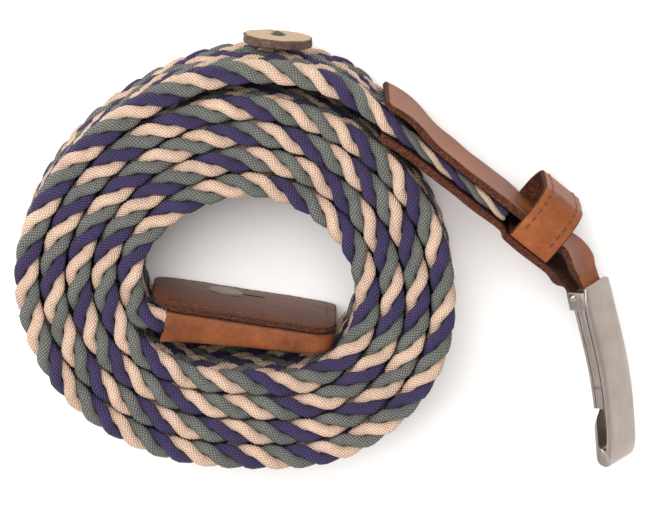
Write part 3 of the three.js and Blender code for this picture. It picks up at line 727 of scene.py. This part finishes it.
# Strap: the leather strip out along the outer layer, round the bar and back along the inner one
def makeStrap():
    strap = {
        "innerLead": 12.0,
        "foldStart": 25.2,  # width where the strap begins to narrow towards the bar
        "foldClear": 1.8,  # the strap has its narrow width from this far before the bar
        "bulge": 1.1,
        "rounding": 0.35,
    }

    def layer(column, sign, lead):
        distance = np.concatenate(
            [np.arange(lead, belt["strapStraight"], 0.8), np.linspace(belt["strapStraight"], strapRun, 30)]
        )
        origin, along, out, across = strapFrame(distance)
        facing = fromRows(*strapTable(column), distance)
        leather = fromRows(*strapTable("leather"), distance)
        width = fromRows(*strapTable("width"), distance)
        fold = smoothStep(distance, belt["strapStraight"], strapRun - strap["foldClear"])
        narrowing = strap["foldStart"] + (belt["foldWidth"] - strap["foldStart"]) * fold
        width = np.where(distance > belt["strapStraight"], narrowing, width)
        wave = 0.12 * ripple(distance, 0 * distance, 14, 3 if sign > 0 else 5)
        bulge = strap["bulge"] * (sign > 0) * np.exp(-(((distance - belt["strapLead"] - 7) / 5.5) ** 2))
        end = smoothStep(distance, lead, lead + 3)
        uneven = smoothStep(distance, lead, lead + 5) * smoothStep(strapRun - distance, 4, 9)
        width = width - 2.2 * (1 - end) ** 2 + 0.35 * ripple(distance, 0 * distance, 9, 8) * uneven
        under = origin + out * (sign * (facing + bulge))[:, None]
        upper = origin + out * (sign * (facing + leather + bulge + wave))[:, None]
        return under, upper, across, width

    outer = layer("outer", 1, belt["strapLead"])
    inner = layer("inner", -1, strap["innerLead"])
    origin, along, out, across = (a[0] for a in strapFrame(strapRun))
    angle = np.pi * (0.5 - np.linspace(0, 1, 22)[1:-1])
    ray = np.cos(angle)[:, None] * along + np.sin(angle)[:, None] * out
    foldUnder = origin + ray * belt["barFace"]
    foldUpper = origin + ray * (belt["barFace"] + belt["foldLeather"])
    under = np.concatenate([outer[0], foldUnder, inner[0][::-1]])
    upper = np.concatenate([outer[1], foldUpper, inner[1][::-1]])
    acrosses = np.concatenate([outer[2], np.tile(across, (len(ray), 1)), inner[2][::-1]])
    width = np.concatenate([outer[3], np.full(len(ray), belt["foldWidth"]), inner[3][::-1]])
    points, faces = ribbon(under, upper, acrosses, width, strap["rounding"], spans=14)
    ring = np.arange(len(points)) // (len(points) // (len(under) + 8))
    ringIndex = np.clip(ring - 4, 0, len(under) - 1)
    middle = (under + upper) / 2
    edge = edgeShare(points, middle[ringIndex], acrosses[ringIndex], width[ringIndex] / 2, 0.55)
    edge = np.maximum(edge, (ring < 5) | (ring > len(under) + 2))
    fleshSide = np.sum((points - middle[ringIndex]) * (upper - under)[ringIndex], -1) < 0
    edge = np.maximum(edge, fleshSide * 0.75)
    piece = makeMesh("strap_leather", points, faces, strapLeather, attributes={"edge": edge})
    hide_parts("buckle_strap")
    print("strap made")


makeStrap()


# Stitches along a line: each one a short thread that rises out of the leather and dives back in
def stitchRow(line, normals, length, gap, radius, rise):
    lengths = lengthsAlong(line)
    starts = np.arange(gap / 2, lengths[-1] - length, length + gap)
    parts = []
    for start in starts:
        share = np.linspace(0, 1, 7)
        at = start + share * length
        path = valuesAt(at, lengths, line)
        normal = unit(valuesAt(at, lengths, normals))
        path = path + normal * (np.sin(np.pi * share) * (rise + radius) - radius)[:, None]
        parts.append(closedTube(path, normal, radius, radius, 6))
    return joinParts(parts)


# Keeper: a leather ring round the strap, its section in the plane of out and across
def makeKeeper():
    keeper = {
        "leather": 1.2,
        "rise": 11.4,
        "foot": 1.8,
        "corner": 6.4,
        "stitchInset": 1.9,
        "belly": 0.5,
    }
    origin, along, out, across = (a[0] for a in strapFrame(belt["keeperStart"]))
    leather = keeper["leather"]
    halfInside = 0.86 * belt["bandWidth"] / 2 + belt["seatGap"]
    half = halfInside + leather / 2
    low, high = -keeper["foot"], keeper["rise"] - leather / 2
    lowCorner, highCorner = 0.9, keeper["corner"] - leather / 2
    corners = [
        (low, -half, lowCorner, 180), (low, half, lowCorner, 90), (high, half, highCorner, 0),
        (high, -half, highCorner, 270),
    ]
    outline, normals = [], []
    for x, y, radius, start in corners:
        centreX = x - math.copysign(radius, x)
        centreY = y - math.copysign(radius, y)
        angles = np.radians(np.linspace(start + 90, start, 8))
        outline += [(centreX + radius * math.cos(a), centreY + radius * math.sin(a)) for a in angles]
        normals += [(math.cos(a), math.sin(a)) for a in angles]
    outline, normals = np.array(outline), np.array(normals)
    dense, denseNormals = [], []
    for i in range(len(outline)):
        nextPoint = outline[(i + 1) % len(outline)]
        gap = np.linalg.norm(nextPoint - outline[i])
        steps = max(1, int(gap / 0.8))
        share = np.arange(steps)[:, None] / steps
        dense.append(outline[i] + (nextPoint - outline[i]) * share)
        mixed = normals[i] + (normals[(i + 1) % len(normals)] - normals[i]) * share
        denseNormals.append(mixed)
    outline, normals = np.concatenate(dense), unit(np.concatenate(denseNormals))
    belly = keeper["belly"] * np.exp(-(((outline[:, 0] - 5) / 4.0) ** 2)) * (outline[:, 0] > 0)
    outline = outline + normals * (belly * np.abs(normals[:, 1]))[:, None]
    ring = origin + outline[:, :1] * out + outline[:, 1:] * across
    ringNormal = normals[:, :1] * out + normals[:, 1:] * across
    middle = ring + along * belt["keeperWidth"] / 2
    wave = 0.05 * ripple(outline[:, 0], outline[:, 1], 9, 21)[:, None]
    under = middle - ringNormal * leather / 2
    upper = middle + ringNormal * (leather / 2 + wave)
    points, faces = ribbon(
        under, upper, np.tile(along, (len(ring), 1)), belt["keeperWidth"], 0.3, closed=True, spans=10
    )
    columns = len(points) // len(ring)
    index = np.arange(len(points)) // columns
    edge = edgeShare(points, middle[index], along, belt["keeperWidth"] / 2, 0.45)
    fleshSide = np.sum((points - middle[index]) * ringNormal[index], -1) < 0
    edge = np.maximum(edge, fleshSide * 0.75)
    piece = makeMesh("keeper_leather", points, faces, strapLeather, attributes={"edge": edge})
    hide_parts("keeper_loop")
    rows = []
    above = outline[:, 0] > 0.6
    order = np.roll(np.arange(len(ring)), -int(np.argmax(above & ~np.roll(above, 1))))
    order = order[: int(above.sum())]
    for inset in (keeper["stitchInset"], belt["keeperWidth"] - keeper["stitchInset"]):
        row = (ring + along * inset + ringNormal * leather / 2)[order]
        rows.append(stitchRow(row, ringNormal[order], 1.5, 0.75, 0.2, 0.02))
    stitches = makeMesh("keeper_stitches", *joinParts(rows), brownThread)
    print("keeper made")


makeKeeper()


# Hook: face plate and nose as one bent strip, a back leg in layers, arms and a bar
def makeHook():
    hook = {
        "length": 42.0,
        "lip": 2.3,
        "width": 10.0,
        "lipWidth": 8.9,
        "depth": 4.6,
        "plate": 1.2,
        "arm": 1.0,
        "bend": 9.0,
        "nose": 0.85,
        "noseReach": 19.3,
        "legStart": 2.9,
        "legEnd": 27.2,
        "fork": 4.8,
        "cheek": 0.9,
        "inset": 0.4,
        "groove": 0.4,
        "barRadius": 1.1,
        "hang": -7.0,
        "bow": 1.5,
    }
    origin, along, out, across = (a[0] for a in strapFrame(strapRun))
    hang = math.radians(hook["hang"])
    down = along * math.cos(hang) + out * math.sin(hang)
    forward = -along * math.sin(hang) + out * math.cos(hang)

    def place(x, y, z=0.0):
        x, y, z = (np.asarray(v, float)[..., None] for v in (x, y, z))
        bow = hook["bow"] * np.sin(np.pi * np.clip(x / hook["length"], 0, 1)) ** 1.5
        return origin + x * down + (y + bow) * forward + z * across

    inside = hook["barRadius"] + 0.3 + 1.1 + 0.3
    face = inside + hook["plate"]
    back = face - hook["depth"]
    foot = hook["length"]
    bendX = foot - hook["bend"]

    lip = cubicCurve(
        (-hook["lip"], face - 0.9), (-hook["lip"], face), (-hook["lip"] + 0.3, face),
        (-hook["lip"] + 1.2, face), 8,
    )
    lipUnder = np.stack([np.linspace(-hook["lip"] + 0.5, -hook["lip"] + 1.4, 8), np.full(8, inside)], -1)
    outerLine = np.concatenate([
        lip,
        np.stack([np.linspace(0, bendX, 30), np.full(30, face)], -1),
        cubicCurve((bendX, face), (bendX + 6.0, face), (foot, face - 0.6), (foot, back + 2.0), 22)[1:],
        cubicCurve((foot, back + 2.0), (foot, back + 0.4), (foot - 1.0, back), (foot - 2.6, back), 10)[1:],
        np.stack([np.linspace(foot - 3.5, foot - hook["noseReach"], 24), np.full(24, back)], -1),
    ])
    noseInside = back + hook["nose"]
    innerLine = np.concatenate([
        lipUnder,
        np.stack([np.linspace(0, bendX - 0.6, 30), np.full(30, inside)], -1),
        cubicCurve(
            (bendX - 0.6, inside), (bendX + 2.5, inside), (foot - 4.4, inside - 0.2),
            (foot - 4.3, back + 2.2), 22,
        )[1:],
        cubicCurve(
            (foot - 4.3, back + 2.2), (foot - 4.4, noseInside + 0.3), (foot - 5.0, noseInside),
            (foot - 6.4, noseInside), 10,
        )[1:],
        np.stack([np.linspace(foot - 7.3, foot - hook["noseReach"], 24), np.full(24, noseInside)], -1),
    ])
    lineLength = lengthsAlong(outerLine)
    legHalf = hook["width"] / 2 - hook["inset"]
    noseWidth = 1.4 * (legHalf - hook["cheek"] - 0.3)
    lipNarrow = hook["lipWidth"] + (hook["width"] - hook["lipWidth"]) * smoothStep(lineLength, 0, 4.5)
    atNose = smoothStep(outerLine[:, 0], hook["legEnd"] + 0.4, hook["legEnd"] + 5)
    onReturn = np.arange(len(outerLine)) > len(outerLine) - 26
    width = np.where(onReturn, noseWidth + (hook["width"] - noseWidth) * atNose, lipNarrow)
    width = np.where(
        ~onReturn & (outerLine[:, 0] > foot - 2),
        hook["width"] - 0.9 * smoothStep(outerLine[:, 0], foot - 2, foot + 0.5), width,
    )
    parts = [ribbon(place(*innerLine.T), place(*outerLine.T), across, width, 0.32, spans=6)]
    legTop = inside - hook["groove"]
    layers = [(back, back + 0.72, 0.0), (back + 0.78, back + 1.55, 0.12), (back + 1.61, legTop, 0.0)]
    solidEnd = hook["legEnd"] - hook["fork"]
    for low, high, narrow in layers:
        x = np.linspace(hook["legStart"], solidEnd, 24)
        parts.append(ribbon(place(x, low), place(x, high), across, 2 * (legHalf - narrow), 0.14, spans=4))
        x = np.linspace(solidEnd - 0.6, hook["legEnd"], 10)
        for side in (-1, 1):
            z = side * (legHalf - hook["cheek"] / 2 - narrow / 2)
            parts.append(
                ribbon(place(x, low, z), place(x, high, z), across, hook["cheek"] - narrow, 0.14, spans=2)
            )
    x = np.linspace(hook["legStart"] + 0.3, solidEnd - 0.5, 16)
    parts.append(
        ribbon(place(x, legTop - 0.3), place(x, inside + 0.4), across, 2 * legHalf - 1.2, 0.1, spans=2)
    )
    reach = hook["barRadius"] + 0.3
    for side in (-1, 1):
        z = side * (hook["width"] / 2 - hook["arm"] / 2)
        y = np.linspace(-reach, inside + 0.3, 8)
        parts.append(
            ribbon(
                place(-reach, y, z), place(hook["legStart"] + 0.3, y, z), across, hook["arm"], 0.25, spans=2
            )
        )
    bar = np.linspace(-hook["width"] / 2 + 0.4, hook["width"] / 2 - 0.4, 8)
    radius = hook["barRadius"]
    parts.append(closedTube(place(0.0, 0.0, bar), np.tile(forward, (8, 1)), radius, radius, 18))
    piece = makeMesh("hook_casting", *joinParts(parts), hookMetal, body="hook")
    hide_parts("hook_buckle")
    print("hook made")


makeHook()


# Button: a slice of branch, its outline uneven, its bark rim rough; the thread's knot on top
def makeButton():
    button = {"radius": 7.8, "thickness": 2.1, "stand": 1.6, "bearing": 81.5, "hole": 0.9, "knot": 1.5}
    turns = (button["bearing"] - belt["coilStart"]) / 360
    seat = coilPoint(turns)
    ahead = unit(coilPoint(turns + 0.001) - coilPoint(turns - 0.001))
    outward = np.array([ahead[1], -ahead[0], 0])
    seat = seat + outward * belt["bandThickness"] / 2 + upwards * middleHeight
    sideways = np.cross(upwards, outward)
    around = 96
    theta = 2 * np.pi * np.arange(around) / around
    uneven = 1 + 0.012 * np.cos(2 * theta + 0.4) + 0.008 * np.cos(3 * theta + 2) + 0.004 * np.cos(7 * theta)
    low, high = button["stand"], button["stand"] + button["thickness"]
    crown = 0.12
    radii = [
        button["hole"], 1.6, 3, 4.4, 5.6, 6.6, 7.2, 7.45, 7.6, 7.72, 7.8, 7.8, 7.8, 7.8, 7.8, 7.7, 7.5, 7.2,
        6, 4, 2, button["hole"],
    ]
    heights = [
        high, high + crown, high + crown, high + 0.1, high + 0.08, high + 0.05, high + 0.02, high - 0.02,
        high - 0.06, high - 0.16, high - 0.36, high - 0.8, (low + high) / 2, low + 0.6, low + 0.3, low + 0.1,
        low, low, low, low, low, low,
    ]
    radii, heights = np.array(radii), np.array(heights)
    barkAndCrackShade = smoothStep(radii, 7.3, 7.62)
    rough = 0.14 * barkAndCrackShade[:, None] * ripple(10 * theta[None, :], 3 * heights[:, None], 4.5, 31, 11)
    ring = radii[:, None] * uneven[None, :] + rough
    lift = heights[:, None] + 0.05 * ripple(
        ring * np.cos(theta), ring * np.sin(theta), 5, 33
    ) * (1 - barkAndCrackShade[:, None])
    points = seat + ring[..., None] * (
        np.cos(theta)[:, None] * sideways + np.sin(theta)[:, None] * upwards
    ) + lift[..., None] * outward
    rows = len(radii)
    faces = ringFaces(rows, around, closedRows=True)[:, ::-1]
    flat = np.stack([ring * np.cos(theta), ring * np.sin(theta)], -1).reshape(-1, 2)
    piece = makeMesh(
        "button_slice", points.reshape(-1, 3), faces, buttonWood, uv=flat[faces.ravel()],
        attributes={"barkAndCrackShade": np.repeat(barkAndCrackShade, around)},
    )
    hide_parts("button")
    # Drying crack: a curved line from the rim to the hole, sunk into the face, painted shade in bark tone
    turns = np.linspace(0, 1, 24)
    crackSide = 1.9 - 1.0 * turns + 0.35 * np.sin(2.4 * np.pi * turns)
    crackUp = -7.0 + 6.6 * turns
    depth = high + crown - 0.1 - 0.14 * (1 - smoothStep(turns, 0, 0.2))
    path = seat + crackSide[:, None] * sideways + crackUp[:, None] * upwards + depth[:, None] * outward
    half = 0.13 + 0.1 * np.sin(np.pi * turns)
    points, faces = closedTube(path, np.tile(outward, (24, 1)), half, half, 8)
    crackShade = makeMesh("button_crack_shade", points, faces, buttonWood, attributes={"barkAndCrackShade": np.ones(len(points))})
    strands = []
    top = high + crown
    for strand in range(4):
        turn = math.pi * strand / 4
        share = np.linspace(-1, 1, 15)
        sideDirection = math.cos(turn) * sideways + math.sin(turn) * upwards
        arch = (1 - share**2) * (0.3 + 0.1 * strand) + 0.1
        path = seat + share[:, None] * button["knot"] * sideDirection + (
            top + arch - 0.25
        )[:, None] * outward
        strands.append(closedTube(path, np.tile(outward, (15, 1)), 0.42, 0.42, 8))
    for strand in range(3):
        turn = 2 * math.pi * strand / 3
        offset = 0.45 * (math.cos(turn) * sideways + math.sin(turn) * upwards)
        share = np.linspace(0, 1, 12)
        path = seat + offset + (0.1 + share * top)[:, None] * outward
        strands.append(closedTube(path, np.tile(sideways, (12, 1)), 0.45, 0.45, 8))
    thread = makeMesh("button_knot", *joinParts(strands), greenThread)
    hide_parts("button_thread")
    print("button made")


makeButton()


# Rounded rectangle as an even outline, its four corner radii given from the low, low corner round
def roundedOutline(lowX, lowZ, highX, highZ, corners, spacing=0.7):
    points = []
    places = [(lowX, lowZ, 180), (highX, lowZ, 270), (highX, highZ, 0), (lowX, highZ, 90)]
    for (x, z, start), radius in zip(places, corners):
        centreX = x + radius if x == lowX else x - radius
        centreZ = z + radius if z == lowZ else z - radius
        angles = np.radians(np.linspace(start, start + 90, 9))
        points += [(centreX + radius * math.cos(a), centreZ + radius * math.sin(a)) for a in angles]
    points = np.array(points)
    closed = np.concatenate([points, points[:1]])
    lengths = lengthsAlong(closed)
    places = np.linspace(0, lengths[-1], int(lengths[-1] / spacing), endpoint=False)
    return valuesAt(places, lengths, closed)


# Cap on the inner end: an under tray of leather, a flange on its rim, an upper leather and a stud
def makeTip():
    tip = {
        "leather": 1.2,
        "overhang": 3.2,
        "corner": 6.0,
        "crown": 0.9,
        "footRound": 2.2,
        "studRadius": 4.15,
        "studAlong": 13.5,
        "studAcross": 10.5,
        "slitLength": 4.8,
        "stitchInset": 2.6,
    }
    tipAlong = direction(belt["tipAngle"])
    tipOut = np.array([-tipAlong[1], tipAlong[0], 0])
    pressedHalf = belt["pressedThickness"] / 2 + belt["seatGap"]
    spread = (belt["bandThickness"] - belt["pressedThickness"]) / 2
    length, width, leather = belt["tipLength"], belt["bandWidth"], tip["leather"]

    # From cap coordinates (along, up from its middle, across) to the coil's frame; the cap is a wedge
    def place(x, y, z):
        wedge = spread * (1 - np.clip(x / length, -0.1, 1))
        y = y + np.sign(y) * wedge
        return tipEntry + x[..., None] * tipAlong + y[..., None] * tipOut + z[..., None] * upwards

    # Share of the crown's full height across the cap: one at its middle, nothing at its long edges
    def domeShare(across):
        return 1 - np.clip(np.abs(across - width / 2) / (width / 2), 0, 1) ** 2.6

    # Slab: rings of the outline shrunk to its middle, over the top, round the edge and back below
    def slab(outline, low, high, crown, rounding):
        middle = outline.mean(0)
        reach = np.linalg.norm(outline - middle, axis=1)
        shares = [0.004, 0.15, 0.3, 0.45, 0.6, 0.72, 0.82, 0.9, 0.95]
        insets = [rounding * (1 - math.sin(a)) for a in np.radians([0, 30, 60, 90])]
        drops = [rounding * (1 - math.cos(a)) for a in np.radians([0, 30, 60, 90])]
        bends = list(zip(insets, drops))
        rows = [(s, None, 0.0, 1) for s in shares] + [(None, i, d, 1) for i, d in bends]
        rows += [(None, i, d, -1) for i, d in bends[::-1]] + [(s, None, 0.0, -1) for s in shares[::-1]]
        rings = []
        for share, inset, drop, side in rows:
            scale = np.full(len(outline), share) if inset is None else 1 - inset / reach
            flat = middle + (outline - middle) * scale[:, None]
            dome = crown * domeShare(flat[:, 1])
            wave = 0.05 * ripple(flat[:, 0], flat[:, 1], 8, 41)
            y = (high - drop if side > 0 else low + drop) + dome + wave
            rings.append(place(flat[:, 0], y, flat[:, 1]))
        points = np.array(rings).reshape(-1, 3)
        columns = len(outline)
        faces = ringFaces(len(rings), columns)
        edge = np.zeros((len(rings), columns))
        edge[len(shares) + 1 : len(shares) + 7] = 1
        points, triangles = joinParts([(points, faces)])
        return points, np.concatenate([triangles, endFans(len(rings), columns)]), edge.ravel()

    coverOutline = roundedOutline(-tip["overhang"], 0, length, width, (7, tip["corner"], tip["corner"], 7))
    coverLow = pressedHalf + belt["seatGap"]
    points, faces, edge = slab(coverOutline, coverLow, coverLow + leather, tip["crown"], 0.3)
    cover = makeMesh("tip_upper_leather", points, faces, tipLeather, attributes={"edge": edge})
    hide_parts("tip_cover")

    # Tray: down the outer wall, round its foot, over the underside to the middle, and back inside
    outline = roundedOutline(0, 0, length, width, (0.4, tip["corner"], tip["corner"], 0.4))
    middle = outline.mean(0)
    reach = np.linalg.norm(outline - middle, axis=1)
    rim = np.where(outline[:, 0] > 0.5, pressedHalf, -pressedHalf + 0.1)
    bottom = -pressedHalf - leather
    awayFromMouth = smoothStep(outline[:, :1], 0.5, 7)
    rings = []
    for share in (1.0, 0.75, 0.5, 0.25, 0.0):
        height = bottom + tip["footRound"] + (rim - bottom - tip["footRound"]) * share
        belly = 0.25 * math.sin(math.pi * share)
        rings.append(
            (outline + unit(outline - middle) * belly * awayFromMouth, np.maximum(height, bottom + 0.3))
        )
    for angle in np.radians([22, 45, 68, 90]):
        inset = tip["footRound"] * (1 - math.cos(angle))
        drop = tip["footRound"] * (1 - math.sin(angle))
        onWall = smoothStep(outline[:, 0], 0.2, 3)
        rings.append(
            (middle + (outline - middle) * (1 - inset * onWall / reach)[:, None], bottom + drop * onWall)
        )
    shares = (0.8, 0.5, 0.25, 0.01)
    for share, height in [(s, bottom) for s in shares] + [(s, -pressedHalf) for s in shares[::-1]]:
        rings.append((middle + (outline - middle) * share, np.full(len(outline), height)))
    inner = middle + (outline - middle) * (1 - leather / reach)[:, None]
    rings.append((inner, np.full(len(outline), -pressedHalf)))
    rings.append((inner, np.maximum(rim - 0.15, -pressedHalf + 0.05)))
    rings.append((middle + (outline - middle) * (1 - 0.8 * leather / reach)[:, None], rim))
    trayPoints = np.array([place(flat[:, 0], y, flat[:, 1]) for flat, y in rings]).reshape(-1, 3)
    trayFaces = ringFaces(len(rings), len(outline), closedRows=True)
    flangeOutline = roundedOutline(0.6, 0, length, width, (2, tip["corner"], tip["corner"], 2))
    flange = slab(flangeOutline, pressedHalf - 0.9, pressedHalf + 0.12, 0.1, 0.25)
    points, faces = joinParts([(trayPoints, trayFaces), (flange[0], flange[1])])
    edge = np.concatenate([np.zeros(len(trayPoints)), flange[2]])
    shell = makeMesh("tip_under_leather", points, faces, wallLeather, attributes={"edge": edge})
    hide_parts("tip_shell")

    # Stitch line: along the near edge and round both ends, sunk a little into the crowned leather
    inset = tip["stitchInset"]
    corners = (inset - tip["overhang"], inset, length - inset + 0.4, width - inset)
    stitchOutline = roundedOutline(*corners, (4, 5, 5, 4), 0.3)
    height = coverLow + leather + tip["crown"] * domeShare(stitchOutline[:, 1])
    line = place(stitchOutline[:, 0], height - 0.12, stitchOutline[:, 1])
    stitches = stitchRow(line, np.tile(tipOut, (len(line), 1)), 2.1, 0.4, 0.2, 0.08)
    piece = makeMesh("tip_stitches", *stitches, tanThread)

    # Stud: a flat disc with a softly rounded rim, standing a little proud of the leather
    around = 64
    theta = 2 * np.pi * np.arange(around) / around
    studDome = tip["crown"] * domeShare(tip["studAcross"])
    top = coverLow + leather + studDome + 0.35
    profile = [
        (0.02, 0.0), (2.0, 0.0), (3.4, -0.03), (3.8, -0.1), (4.02, -0.22), (4.12, -0.4), (4.15, -0.7),
        (4.15, -1.5), (2.0, -1.5), (0.02, -1.5),
    ]
    rings = []
    for radius, drop in profile:
        x = tip["studAlong"] + radius * np.cos(theta)
        z = tip["studAcross"] + radius * np.sin(theta)
        rings.append(place(x, np.full(around, top + drop), z))
    points = np.array(rings).reshape(-1, 3)
    faces = ringFaces(len(rings), around)
    points, triangles = joinParts([(points, faces)])
    triangles = np.concatenate([triangles, endFans(len(rings), around)])
    stud = makeMesh("tip_stud_disc", points, triangles, studMetal)
    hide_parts("tip_stud")

    # Slit that lets the stud's head through: a thin dark line beside the disc
    slitAlong = tip["studAlong"] + np.linspace(
        tip["studRadius"] - 0.2, tip["studRadius"] + tip["slitLength"], 16
    )
    slitHeight = np.full(16, coverLow + leather + studDome + 0.02)
    path = place(slitAlong, slitHeight, np.full(16, tip["studAcross"]))
    slit = makeMesh("tip_slit", *closedTube(path, np.tile(tipOut, (16, 1)), 0.14, 0.2, 8), slitShade)
    print("cap made")


makeTip()


# Pale matt floor, wide enough for every view
def makeFloor():
    material, tree, shader = startMaterial("floor_paper")
    place = addNode(tree, "TexCoord").outputs["Object"]
    grain = addNode(tree, "TexNoise", {"Vector": place, "Scale": 40.0, "Detail": 2.0})
    setInputs(
        tree, shader,
        {
            "Base Color": colourRamp(tree, grain.outputs["Fac"], [(0.0, "#F4F2F0"), (1.0, "#F8F6F4")]),
            "Roughness": 0.9,
        },
    )
    half = 2.5
    mesh = bpy.data.meshes.new("floor")
    mesh.from_pydata(
        [(-half, -half, -0.0002), (half, -half, -0.0002), (half, half, -0.0002), (-half, half, -0.0002)],
        [], [(0, 1, 2, 3)],
    )
    floor = bpy.data.objects.new("floor", mesh)
    bpy.context.scene.collection.objects.link(floor)
    mesh.materials.append(material)


# Soft studio light: one wide panel above and behind, one from the left, one low fill
def makeLights():
    lamps = [
        {"name": "overhead", "at": (-0.15, 0.35, 0.75), "size": 0.7, "power": 8.5},
        {"name": "side", "at": (-0.65, -0.1, 0.45), "size": 0.4, "power": 2.2},
        {"name": "front", "at": (0.35, -0.6, 0.4), "size": 0.5, "power": 2.0},
    ]
    for lamp in lamps:
        light = bpy.data.lights.new(lamp["name"], "AREA")
        light.shape = "DISK"
        light.size = lamp["size"]
        light.energy = lamp["power"]
        holder = bpy.data.objects.new(lamp["name"], light)
        holder.location = lamp["at"]
        holder.rotation_euler = (-Vector(lamp["at"])).to_track_quat("-Z", "Y").to_euler()
        bpy.context.scene.collection.objects.link(holder)
    world = bpy.data.worlds.new("studio")
    world.use_nodes = True
    world.node_tree.nodes["Background"].inputs[0].default_value = (1, 1, 1, 1)
    world.node_tree.nodes["Background"].inputs[1].default_value = 0.6
    bpy.context.scene.world = world


# Camera at the photo's angle: almost straight above, leaning back by its tilt
def makeCamera():
    view = {
        "tilt": 12.3,
        "distance": 1000.0,
        "acrossPicture": 650 / 4.4,  # millimetres of the coil's top: picture width by its scale
        "aim": (17.95, -3.78, 29.3),  # the picture's middle: sideways, up the picture, to the lens
    }
    tilt = math.radians(view["tilt"])
    right = np.array([1.0, 0, 0])
    up = np.array([0, math.cos(tilt), -math.sin(tilt)])
    back = np.array([0, math.sin(tilt), math.cos(tilt)])
    aim = view["aim"][0] * right + view["aim"][1] * up + view["aim"][2] * back
    position = (aim + back * view["distance"] + coilShift) / 1000
    lens = bpy.data.cameras.new("camera")
    lens.sensor_fit = "HORIZONTAL"
    lens.sensor_width = 36.0
    lens.lens = 36.0 * view["distance"] / view["acrossPicture"]
    lens.clip_start, lens.clip_end = 0.05, 20
    camera = bpy.data.objects.new("camera", lens)
    rotation = Matrix(np.array([right, up, back]).T.tolist()).to_4x4()
    camera.matrix_world = Matrix.Translation(position.tolist()) @ rotation
    bpy.context.scene.collection.objects.link(camera)
    bpy.context.scene.camera = camera


makeFloor()
makeLights()
makeCamera()
bpy.context.scene.view_settings.view_transform = "Standard"
bpy.context.view_layer.update()
